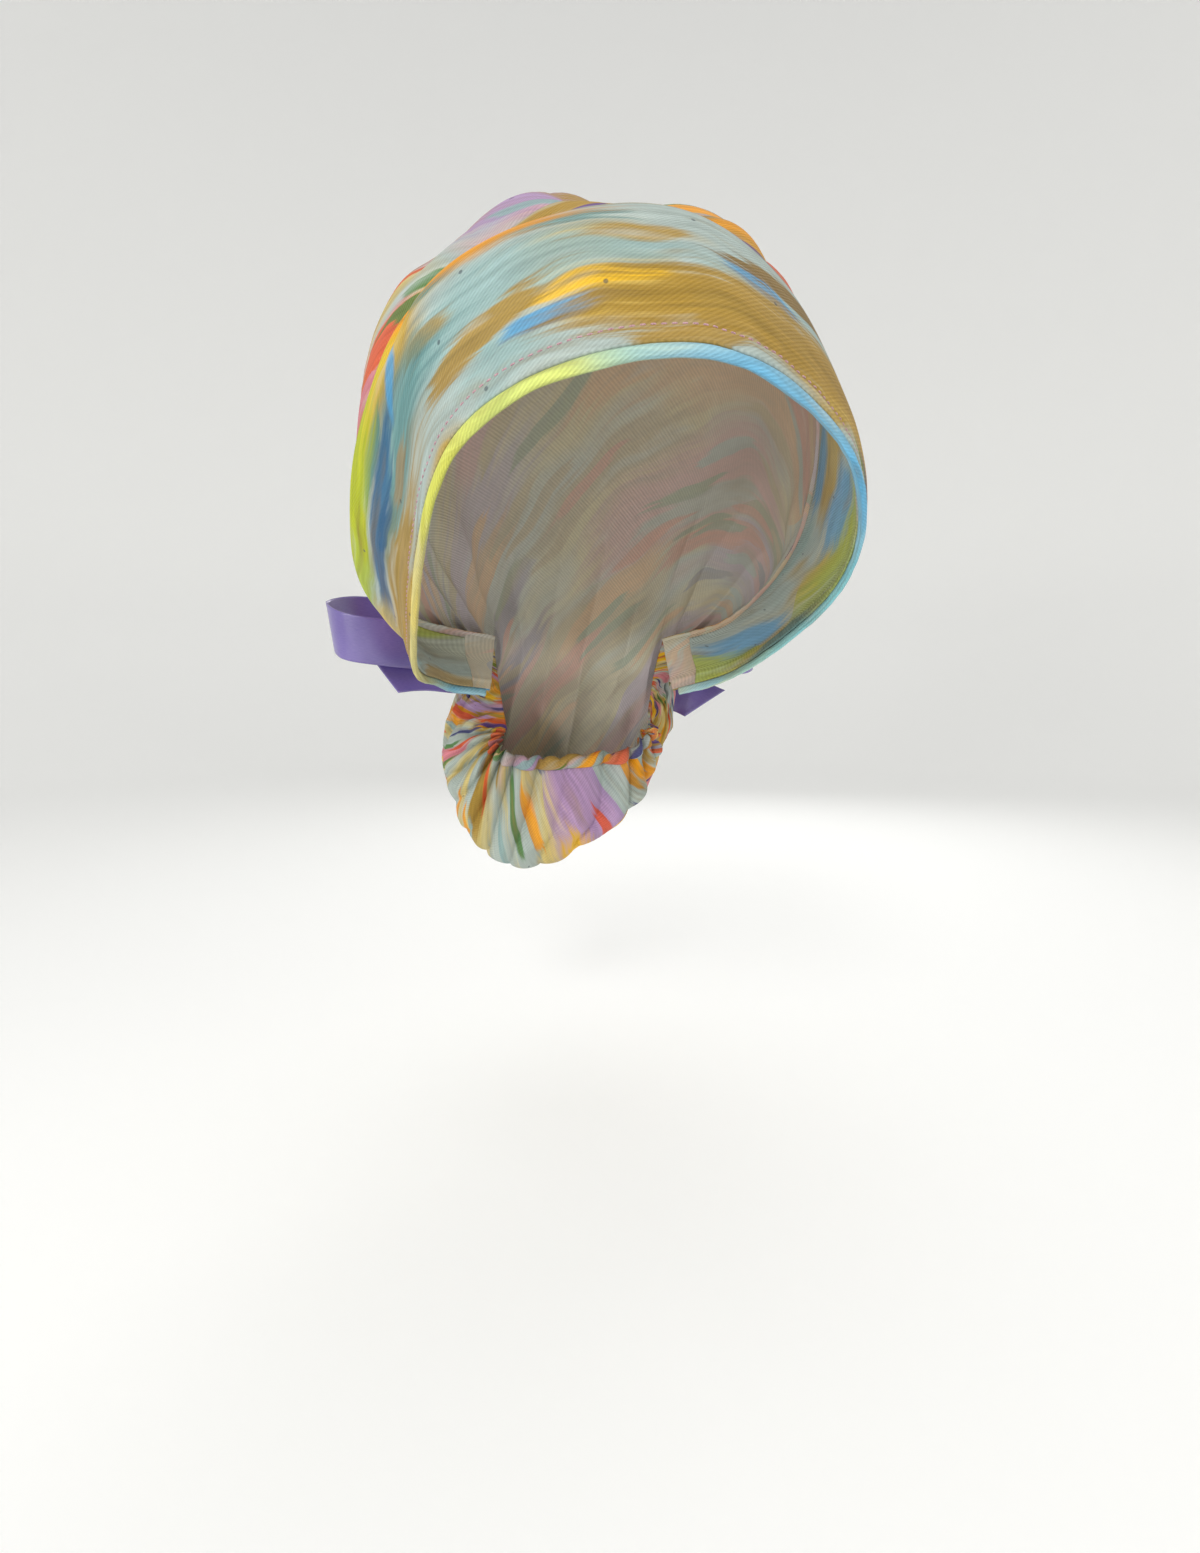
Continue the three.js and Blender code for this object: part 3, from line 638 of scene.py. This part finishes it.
# Strokes of the band's print, in a layout of its own. u runs along the hem from the middle of the
# forehead to the wearer's left, v from the hem to the seam, in mm.
STROKE_COLUMNS = "u v length width turn colour cover dry"
BAND_STROKES = table(STROKE_COLUMNS, [
    (6, 44, 110, 14, 4, MIST, 0.7, 0.3),
    (-14, 78, 130, 20, 3, GOLD, 0.9, 0.5),
    (52, 72, 100, 12, -4, AMBER, 0.85, 0.5),
    (44, 32, 60, 7, 6, OCHRE, 0.9, 0.8),
    (-40, 42, 50, 8, -10, TEAL, 0.8, 0.6),
    (8, 91, 120, 8, 2, INDIGO, 0.85, 0.5),
    (34, 14, 120, 22, 3, GOLD, 0.95, 0.6),
    (-52, 18, 46, 9, 10, GOLD, 0.9, 0.7),
    (-74, 50, 96, 16, -9, AMBER, 0.95, 0.35),
    (-34, 62, 56, 11, -6, AMBER, 0.95, 0.3),
    (22, 60, 96, 20, 5, SAND, 0.95, 0.3),
    (60, 46, 54, 6, 8, TEAL, 0.85, 0.4),
    (-4, 68, 88, 8, -2, PURPLE, 0.9, 0.5),
    (-62, 82, 80, 15, -8, GOLD, 0.9, 0.4),
    (-100, 64, 60, 13, -4, LILAC, 0.75, 0.2),
    (-112, 24, 96, 18, 2, TEAL, 0.65, 0.2),
    (-128, 44, 100, 14, -2, YELLOW, 0.8, 0.3),
    (-160, 42, 120, 20, 2, LIME, 0.9, 0.3),
    (-165, 10, 150, 17, 0, GOLD, 0.9, 0.5),
    (-150, 27, 90, 9, 3, BLUE, 0.8, 0.5),
    (-214, 24, 60, 16, 0, CREAM, 0.8, 0.2),
    (-96, 34, 16, 5, 40, SKY, 0.85, 0.1),
    (92, 66, 70, 16, 6, LILAC, 0.75, 0.2),
    (104, 30, 84, 14, 4, OCHRE, 0.9, 0.6),
    (118, 10, 70, 8, 3, INDIGO, 0.75, 0.3),
    (132, 46, 72, 14, 0, AQUA, 0.8, 0.2),
    (168, 26, 90, 18, 0, SKY, 0.65, 0.2),
    (200, 36, 80, 14, 0, LIME, 0.7, 0.3),
])

# Layers of scattered strokes: a cell's length and width in mm and turn in degrees, the layer's shift in
# mm, and the stroke's edge in its cell
LAYER_COLUMNS = "colours length width turn shift edge dry cover"
BAND_LAYERS = table(LAYER_COLUMNS, [
    ([MIST, GOLD, CREAM, AQUA, LILAC, SAND, MIST], 95, 20, 4, 23, 0.42, 0.3, 0.85),
    ([GOLD, TEAL, AMBER, OLIVE, SKY, YELLOW, PURPLE], 60, 11, -5, 71, 0.24, 0.6, 0.85),
])
CROWN_GROUND = [(0.3, SAND), (0.45, CREAM), (0.55, MIST), (0.7, ROSE)]
CROWN_LAYERS = table(LAYER_COLUMNS, [
    ([CREAM, ROSE, GOLD, MIST, LILAC, SAND, AMBER, CORAL], 120, 30, 12, 3, 0.52, 0.35, 0.9),
    ([CORAL, GOLD, AMBER, OLIVE, PURPLE, ROSE, YELLOW, MIST], 95, 17, -9, 41, 0.36, 0.6, 0.95),
    ([GOLD, CORAL, INDIGO, SAND, GREEN, AMBER, AQUA], 70, 8, 5, 87, 0.26, 0.9, 0.9),
])
LINING_LAYERS = table(LAYER_COLUMNS, [
    ([LIME, CREAM, AQUA, OLIVE, MIST], 120, 34, 4, 13, 0.42, 0.1, 0.8),
    ([GOLD, TEAL, LIME, SKY, YELLOW], 84, 20, -5, 57, 0.30, 0.4, 0.85),
])
CROWN_GRAIN = 38
band_print = brush_print("printed cotton twill, band", WASH_GROUND, BAND_STROKES, BAND_LAYERS)
crown_print = brush_print(
    "printed cotton twill, crown", CROWN_GROUND, layers=CROWN_LAYERS, grain=CROWN_GRAIN,
)
lining_print = brush_print("printed cotton twill, lining", WASH_GROUND, layers=LINING_LAYERS, fade=0.12)
crown_inside = brush_print(
    "printed cotton twill, wrong side", CROWN_GROUND, layers=CROWN_LAYERS, fade=0.62, specks=False,
    grain=CROWN_GRAIN,
)

# The lining's turned edge, which shows as a bright rim round the face
RIM_GROUND = [(0.25, YELLOW), (0.40, "#e3e2a8"), (0.48, "#bfe0e0"), (0.58, "#6fb9dc"), (0.72, "#a9dbd8")]
RIM_STROKES = table(STROKE_COLUMNS, [
    (-150, 0, 150, 60, 0, "#e6cf62", 0.8, 0.1),
    (-60, 0, 90, 60, 0, "#dfe24a", 0.8, 0.1),
    (50, 0, 130, 60, 0, "#5fb3e0", 0.8, 0.1),
    (170, 0, 120, 60, 0, "#8fd0cf", 0.8, 0.1),
])
rim_print = brush_print("printed cotton twill, rim", RIM_GROUND, RIM_STROKES, specks=False)


def satin(name, colour_deep, colour_light):
    """Polyester satin ribbon, woven with long floats: a smooth bright face with a soft streaked gloss
    along its length, and a fine rib that runs lengthwise."""
    material, tree = new_material(name)
    uv = add(tree, "UVMap", uv_map="flat")
    mm = add(tree, "VectorMath", {0: uv.outputs[0], "Scale": 1 / MM}, operation="SCALE").outputs[0]
    floats = add(tree, "Mapping", {"Vector": mm, "Scale": (0.35, 5.0, 1)})
    yarn = add(tree, "TexNoise", {
        "Vector": floats.outputs[0], "Scale": 1.0, "Detail": 3.0, "Roughness": 0.6,
    })
    cloud = add(tree, "TexNoise", {"Vector": mm, "Scale": 0.03, "Detail": 0.0})
    both = add(tree, "Math", {
        0: yarn.outputs["Fac"], 1: 0.45, 2: cloud.outputs["Fac"],
    }, operation="MULTIPLY_ADD")
    stops = [(0.45, colour_deep), (0.95, colour_light)]
    colour = add(tree, "ValToRGB", {"Fac": both.outputs[0]}, stops=stops)
    bump = add(tree, "Bump", {"Height": yarn.outputs["Fac"], "Strength": 0.35, "Distance": 0.00012})
    tangent = add(tree, "Tangent", direction_type="UV_MAP", uv_map="flat")
    shader = add(tree, "BsdfPrincipled", {
        "Base Color": colour.outputs[0], "Normal": bump.outputs[0], "Tangent": tangent.outputs[0],
        "Roughness": 0.24, "IOR": 1.6, "Specular IOR Level": 1.0, "Anisotropic": 0.6,
        "Sheen Weight": 0.35, "Sheen Roughness": 0.35,
    })
    add(tree, "OutputMaterial", {"Surface": shader.outputs[0]})
    return material


ribbon_satin = satin("satin ribbon", "#57468f", "#7a68b2")


def thread(name, colour_deep, colour_light):
    """Spun polyester sewing thread: two plies twisted together, with a slight gloss."""
    material, tree = new_material(name)
    place = add(tree, "TexCoord")
    ply = add(tree, "TexNoise", {"Vector": place.outputs["Object"], "Scale": 2500.0, "Detail": 1.0})
    stops = [(0.35, colour_deep), (0.65, colour_light)]
    tone = add(tree, "ValToRGB", {"Fac": ply.outputs["Fac"]}, stops=stops)
    bump = add(tree, "Bump", {"Height": ply.outputs["Fac"], "Strength": 0.3, "Distance": 0.0001})
    shader = add(tree, "BsdfPrincipled", {
        "Base Color": tone.outputs[0], "Normal": bump.outputs[0], "Roughness": 0.55, "IOR": 1.5,
        "Sheen Weight": 0.2,
    })
    add(tree, "OutputMaterial", {"Surface": shader.outputs[0]})
    return material


stitch_thread = thread("sewing thread", "#a87d88", "#cfa4ad")


# Cloth pieces

def rows_between(stretches):
    """Section values from (start, end, count) stretches."""
    values = [np.linspace(a, b, n, endpoint=False) for a, b, n in stretches]
    return np.concatenate(values + [[stretches[-1][1]]])


def cut_layout(points, t_values, width):
    """Layout of gathered cloth: its cut keeps one width, which the gathers draw together."""
    across = np.linalg.norm(np.diff(points, axis=0), axis=2).mean(axis=1)
    v = np.concatenate([[0], np.cumsum(across)])
    return np.stack(np.broadcast_arrays((t_values - 0.5)[None, :] * width, v[:, None]), axis=-1)


def panel(name, s_values, t_values, lift, thickness, materials, cut_width=None):
    """Cloth over section values and places along them, with a finish for its outer and inner side."""
    s, t = np.meshgrid(s_values, t_values, indexing="ij")
    outer = cloth(s, t, lift)
    inner = cloth(s, t, lift - thickness)
    layout = cut_layout(outer, t_values, cut_width) if cut_width else flat_layout(outer)
    return sheet_wall(name, (outer, inner), layout, materials)


band_rows = rows_between([(0.0, 0.5, 16), (0.5, 3.7, 40), (3.7, SEAM_ROW - SEAM_GAP, 10)])
band_columns = np.linspace(0, 1, 421)
front_band = panel("front_band_cloth", band_rows, band_columns, 0.0, CLOTH, [band_print, crown_inside])

facing_rows = rows_between([(0.0, 3.5, 36)])
facing_columns = np.linspace(FACING_INSET, 1 - FACING_INSET, 300)
band_facing = panel(
    "band_facing_cloth", facing_rows, facing_columns, -FACING_DEPTH, FACING_CLOTH,
    [lining_print, lining_print],
)

crown_rows = rows_between([(SEAM_ROW + SEAM_GAP, 4.4, 10), (4.4, 9, 48), (9, 13, 42), (13, LAST_ROW, 44)])
crown_columns = np.linspace(0, 1, 321)
crown = panel(
    "crown_and_pouch_cloth", crown_rows, crown_columns, 0.0, CLOTH, [crown_print, crown_inside],
    CROWN_CUT_WIDTH,
)


def power(v, e):
    """Signed power, which squares off an oval."""
    return np.sign(v) * np.abs(v) ** e


def edge_roll(name, s, outward, steps, sides, height, depth, lift, gap, inset, swell, material):
    """Tube of an oval section that follows an edge of the cloth, just past it."""
    t = np.linspace(inset, 1 - inset, steps)
    edge = np.full_like(t, s)
    n = normal_at(edge, t)
    step = 0.1 if outward < 0 else -0.1
    past = unit(bare(edge, t) - bare(edge + step, t))
    along = unit(np.cross(n, past))
    past = unit(np.cross(along, n))
    size, side_shift = swell(t)
    centre = cloth(edge, t, lift) + past * (gap + height * size / 2)[:, None] + n * side_shift[:, None]
    angle = np.linspace(0, 2 * math.pi, sides, endpoint=False)
    ring = (
        centre[:, None]
        + past[:, None] * (power(np.cos(angle), 0.8)[None, :] * (height * size / 2)[:, None])[..., None]
        + n[:, None] * (power(np.sin(angle), 0.8)[None, :] * (depth * size / 2)[:, None])[..., None]
    )
    length = np.concatenate([[0], np.cumsum(np.linalg.norm(np.diff(centre, axis=0), axis=1))])
    length -= length[steps // 2]
    round_way = angle / (2 * math.pi) * (height + depth) * 1.6
    uv = np.stack(np.broadcast_arrays(length[:, None], round_way[None, :]), axis=-1)
    return tube(name, ring, uv, [material])


def hem_swell(t):
    """Uneven size and sideways shift of the turned edge."""
    u = t * HEM_LENGTH
    size = 1 + 0.10 * soft_noise(u / 17, 0 * u, 51) + 0.05 * soft_noise(u / 5, 0 * u, 52)
    return size, 0.25 * soft_noise(u / 23, 0 * u, 53)


def casing_swell(t):
    """Size and sideways shift of the ruffles that the elastic draws up."""
    ends = 0.55 + 0.45 * smooth01((np.minimum(t, 1 - t) - 0.06) / 0.16)
    phase = math.pi * (23 * t + 0.4 * soft_noise(t * 19, 0 * t, 54))
    size = ends * (0.84 + 0.3 * np.abs(np.sin(phase)) ** 0.8 + 0.06 * soft_noise(t * 40, 0 * t, 55))
    return size, 0.6 * soft_noise(t * 25, 0 * t, 56) * ends


hem_rim = edge_roll(
    "hem_rim", 0, outward=-1, steps=420, sides=14, height=HEM_ROLL_HEIGHT, depth=HEM_ROLL_DEPTH,
    lift=-CLOTH, gap=HEM_ROLL_GAP, inset=0.012, swell=hem_swell, material=rim_print,
)
casing = edge_roll(
    "elastic_casing_ruffle", LAST_ROW, outward=1, steps=520, sides=18, height=CASING_HEIGHT,
    depth=CASING_DEPTH, lift=-CLOTH / 2, gap=CASING_GAP, inset=0.06, swell=casing_swell,
    material=crown_print,
)


# Stitches

def stitch_row(name, t_values, depth, lift, material):
    """A row of short threads along the band, each lying on the cloth and dipping in at both ends."""
    t = np.linspace(t_values[0], t_values[1], 3000)
    s = np.minimum(depth / hem_step(t), 0.9)
    path = cloth(s, t, lift)
    n = normal_at(s, t)
    length = np.concatenate([[0], np.cumsum(np.linalg.norm(np.diff(path, axis=0), axis=1))])
    verts = []
    faces = []
    sides = 6
    for start in np.arange(0, length[-1] - STITCH_LENGTH, STITCH_PITCH):
        base = len(verts)
        for k in range(5):
            share = k / 4
            where = start + STITCH_LENGTH * share
            centre = np.array([np.interp(where, length, path[:, j]) for j in range(3)])
            ahead = np.array([np.interp(where + 0.2, length, path[:, j]) for j in range(3)])
            up = unit(np.array([np.interp(where, length, n[:, j]) for j in range(3)]))
            side = unit(np.cross(unit(ahead - centre), up))
            dip = 0.35 * abs(2 * share - 1) ** 3
            radius = STITCH_RADIUS * (1 - 0.75 * abs(2 * share - 1) ** 4)
            for q in range(sides):
                a = 2 * math.pi * q / sides
                verts.append(centre - up * dip + radius * (math.cos(a) * side + math.sin(a) * up))
        for k in range(4):
            for q in range(sides):
                a, b = base + k * sides + q, base + k * sides + (q + 1) % sides
                faces.append([a, b, b + sides, a + sides])
        faces.append([base + q for q in range(sides)])
        faces.append([base + 4 * sides + q for q in range(sides)])
    return new_object(name, np.array(verts), faces, None, [material])


topstitch = stitch_row("hem_topstitching", (0.015, 0.985), STITCH_INSET, 0.12, stitch_thread)


# Ribbons

def ribbon_frame(rows, steps):
    """Centre, way, up, face and open share along a ribbon through its rows."""
    numbers = np.array([[*r["centre"], *r["up"], r["share"]] for r in rows], float)
    last = len(rows) - 1
    u = np.linspace(0, last, steps)
    values = spline_rows(numbers, u)
    ahead = spline_rows(numbers, np.minimum(u + 0.02, last))[:, :3]
    way = unit(ahead - spline_rows(numbers, np.maximum(u - 0.02, 0))[:, :3])
    up = values[:, 3:6]
    up = unit(up - way * np.sum(up * way, axis=1, keepdims=True))
    face = unit(np.cross(up, way))
    return values[:, :3], way, up, face, values[:, 6]


def ribbon(name, rows, steps, slant=0.0, folds=2.5, curl=0.5):
    """A satin ribbon and its length. Where it is drawn in, its width lies in lengthwise folds."""
    centre, way, up, face, share = ribbon_frame(rows, steps)
    across = np.linspace(-1, 1, 25)
    half = RIBBON_WIDTH / 2 * share
    ends = slant * smooth01((np.linspace(0, 1, steps) - 0.75) / 0.25)
    gathered = np.clip(1 - share, 0, 1)
    wave = np.cos(math.pi * (across[None, :] * folds + 0.3)) * (gathered * 2.2)[:, None]
    wave = wave * (1 - 0.3 * across[None, :] ** 2)
    cup = curl * (across[None, :] ** 2 - 0.4) * share[:, None]
    middle = (
        centre[:, None]
        + up[:, None] * (across[None, :] * half[:, None])[..., None]
        + way[:, None] * (across[None, :] * ends[:, None])[..., None]
        + face[:, None] * (wave + cup)[..., None]
    )
    du = np.gradient(middle, axis=0)
    dv = np.gradient(middle, axis=1)
    n = unit(np.cross(dv, du))
    length = np.concatenate([[0], np.cumsum(np.linalg.norm(np.diff(centre, axis=0), axis=1))])
    uv = np.stack(np.broadcast_arrays(length[:, None], across[None, :] * RIBBON_WIDTH / 2), axis=-1)
    outer = middle + n * RIBBON_CLOTH / 2
    inner = middle - n * RIBBON_CLOTH / 2
    return sheet_wall(name, (outer, inner), uv, [ribbon_satin, ribbon_satin]), length[-1]


def from_knot(rows):
    """Rows of a ribbon measured from the knot, with the upper edge leant about the ribbon's way."""
    made = []
    for i, row in enumerate(rows):
        after = np.array(rows[min(i + 1, len(rows) - 1)]["at"], float)
        before = np.array(rows[max(i - 1, 0)]["at"], float)
        way = unit(after - before)
        angle = math.radians(row["lean"])
        up = np.array([0.0, 0.0, 1.0])
        along = way * (way @ up) * (1 - math.cos(angle))
        up = up * math.cos(angle) + np.cross(way, up) * math.sin(angle) + along
        made.append({"centre": np.array(row["at"]) + KNOT_AT, "up": up, "share": row["share"]})
    return made


def tie_rows(sign):
    """Round the gathered waist, just clear of the cloth in every direction, to the knot."""
    s, t = np.meshgrid(np.arange(9, 12, 0.05), np.arange(0, 1.0001, 0.004), indexing="ij")
    crest = cloth(s, t).reshape(-1, 3)
    half = RIBBON_WIDTH * TIE_SHARE / 2
    crest = crest[np.abs(crest[:, 2] - TIE_Z) < half + 1.2]
    knot_edge = KNOT_AT[0] + sign * (KNOT_SIZE[0] / 2 + 0.7)
    last_angle = math.atan2(TIE_PIVOT_BACK, sign * knot_edge) - 0.06
    x, y = crest[:, 0], crest[:, 1] - TIE_PIVOT_Y
    first_angle = max(TIE_START_ANGLE, float(np.min(np.arctan2(y, sign * x))) + 0.05)
    rows = []
    for k in range(TIE_ROWS):
        angle = first_angle + (last_angle - first_angle) * k / (TIE_ROWS - 1)
        out = np.array([sign * math.cos(angle), math.sin(angle), 0])
        near = np.abs(np.arctan2(y, sign * x) - angle) < 0.1
        reach = max(0.0, np.max((x * out[0] + y * out[1])[near], initial=0.0))
        far = reach + TIE_CLEARANCE
        centre = (out[0] * far, TIE_PIVOT_Y + out[1] * far, TIE_Z)
        rows.append({"centre": centre, "up": (0, 0, 1), "share": TIE_SHARE})
    rows.append({"centre": (knot_edge, KNOT_AT[1] - 3.7, KNOT_AT[2]), "up": (0, 0, 1), "share": 0.45})
    return rows


def knot(name):
    """The ribbon wrapped once over itself: a squared-off roll with lengthwise creases."""
    levels, sides = 48, 72
    a = np.linspace(-math.pi / 2, math.pi / 2, levels)[1:-1]
    b = np.linspace(0, 2 * math.pi, sides, endpoint=False)
    crease = 1 - 0.055 * np.abs(np.sin(2.5 * b + 0.4)) ** 6 - 0.04 * np.abs(np.sin(4.5 * b + 1.1)) ** 8
    r = power(np.cos(a), 0.6)[:, None] * crease[None, :]
    pinch = 1 - 0.10 * np.exp(-((a / 0.5) ** 2))[:, None]
    x = KNOT_SIZE[0] / 2 * r * power(np.cos(b), 0.65)[None, :] * pinch
    y = KNOT_SIZE[1] / 2 * r * power(np.sin(b), 0.65)[None, :]
    z = KNOT_SIZE[2] / 2 * power(np.sin(a), 0.6)[:, None] + 0 * b[None, :]
    rings = np.stack([x, y, z], axis=-1) + KNOT_AT
    uv = np.stack(np.broadcast_arrays(z, (b * 7)[None, :] + 0 * z), axis=-1)
    return tube(name, rings, uv, [ribbon_satin])


tie_right, tie_right_length = ribbon("tie_right_satin", tie_rows(-1), 120, folds=3.5, curl=0.2)
tie_left, tie_left_length = ribbon("tie_left_satin", tie_rows(1), 120, folds=3.5, curl=0.2)
loop_right, loop_right_length = ribbon("bow_loop_right_satin", from_knot(LOOP_RIGHT), 200)
loop_left, loop_left_length = ribbon("bow_loop_left_satin", from_knot(LOOP_LEFT), 200)
tail_right, tail_right_length = ribbon("ribbon_tail_right_satin", from_knot(TAIL_RIGHT), 90, TAIL_SLANT)
tail_left, tail_left_length = ribbon("ribbon_tail_left_satin", from_knot(TAIL_LEFT), 90, TAIL_SLANT)
bow_knot = knot("bow_knot_satin")

# Which node of the part each piece stands for, and its finish
PIECES = [
    (front_band, "front_band", "print_cloth"),
    (band_facing, "band_facing", "facing_cloth"),
    (hem_rim, "hem_roll", "hem_cloth"),
    (crown, "crown_and_pouch", "print_cloth"),
    (casing, "elastic_casing", "print_cloth"),
    (tie_right, "tie_right", "satin_ribbon"),
    (tie_left, "tie_left", "satin_ribbon"),
    (bow_knot, "bow_knot", "satin_ribbon"),
    (loop_right, "bow_loop_right", "satin_ribbon"),
    (loop_left, "bow_loop_left", "satin_ribbon"),
    (tail_right, "ribbon_tail_right", "satin_ribbon"),
    (tail_left, "ribbon_tail_left", "satin_ribbon"),
]
for piece, node_name, slot_name in PIECES:
    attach(piece, "root")
    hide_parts(node_name)
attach(topstitch, "root")

# Studio: a pale floor that rises into a backdrop all round, soft lights
FLOOR_Z = -382.0
BOWL_SIDES = 96
BACKDROP = [(0, 0), (1400, 0), (1900, 60), (2250, 350), (2400, 900), (2400, 2600)]
profile = spline_rows(np.array(BACKDROP, float), np.linspace(0, len(BACKDROP) - 1, 60))[1:]
angles = np.linspace(0, 2 * math.pi, BOWL_SIDES, endpoint=False)
radius, level = profile[:, 0, None], profile[:, 1, None] + FLOOR_Z
bowl = np.stack([radius * np.cos(angles), radius * np.sin(angles), level + 0 * angles], axis=-1)
bowl_faces = [[*range(BOWL_SIDES)]]
for i in range(len(bowl) - 1):
    for k in range(BOWL_SIDES):
        a, b = i * BOWL_SIDES + k, i * BOWL_SIDES + (k + 1) % BOWL_SIDES
        bowl_faces.append([a, a + BOWL_SIDES, b + BOWL_SIDES, b])
studio_paper, paper_tree = new_material("matt studio paper")
paper_shader = add(paper_tree, "BsdfPrincipled", {
    "Base Color": linear("#f3f3f1"), "Roughness": 0.9, "Emission Color": linear("#ffffff"),
    "Emission Strength": 0.12,
})
add(paper_tree, "OutputMaterial", {"Surface": paper_shader.outputs[0]})
floor = new_object("studio_floor", bowl.reshape(-1, 3), bowl_faces, None, [studio_paper])

world = bpy.data.worlds.new("studio")
scene.world = world
world.use_nodes = True
world.node_tree.nodes["Background"].inputs["Color"].default_value = linear("#ffffff")
world.node_tree.nodes["Background"].inputs["Strength"].default_value = 0.45


def soft_light(name, place, aim, size, watts):
    data = bpy.data.lights.new(name, "AREA")
    data.shape = "DISK"
    data.size = size
    data.energy = watts
    obj = bpy.data.objects.new(name, data)
    obj.location = Vector(to_frame(place))
    way = Vector(to_frame(aim)) - obj.location
    obj.rotation_mode = "QUATERNION"
    obj.rotation_quaternion = way.to_track_quat("-Z", "Y")
    scene.collection.objects.link(obj)


CAP_CENTRE = (0, 10, -110)
soft_light("key", (-450, -900, 500), CAP_CENTRE, 0.35, 4.5)
soft_light("fill_left", (900, -500, 200), CAP_CENTRE, 0.7, 1.0)
soft_light("fill_right", (-800, -850, -60), CAP_CENTRE, 0.2, 2.6)
soft_light("overhead", (0, 200, 1100), CAP_CENTRE, 1.2, 2.5)
soft_light("back", (450, 1000, 350), CAP_CENTRE, 0.6, 3.0)

# Camera: the photo's wide lens from low in front
PICTURE = (1200, 1553)
FOCAL_PIXELS = 772
SENSOR = 36.0
CAMERA_AT = (-58.2, -288.9, -177.0)
LOOKS_DOWN = 6.1
TURNED = 10
camera_data = bpy.data.cameras.new("camera")
camera_data.sensor_width = SENSOR
camera_data.sensor_fit = "AUTO"
camera_data.lens = FOCAL_PIXELS / PICTURE[1] * SENSOR
camera_data.clip_start = 0.01
camera = bpy.data.objects.new("camera", camera_data)
camera.location = Vector(to_frame(CAMERA_AT))
camera.rotation_euler = (math.radians(90 - LOOKS_DOWN), 0, math.radians(-TURNED))
scene.collection.objects.link(camera)
scene.camera = camera
scene.view_settings.view_transform = "Standard"
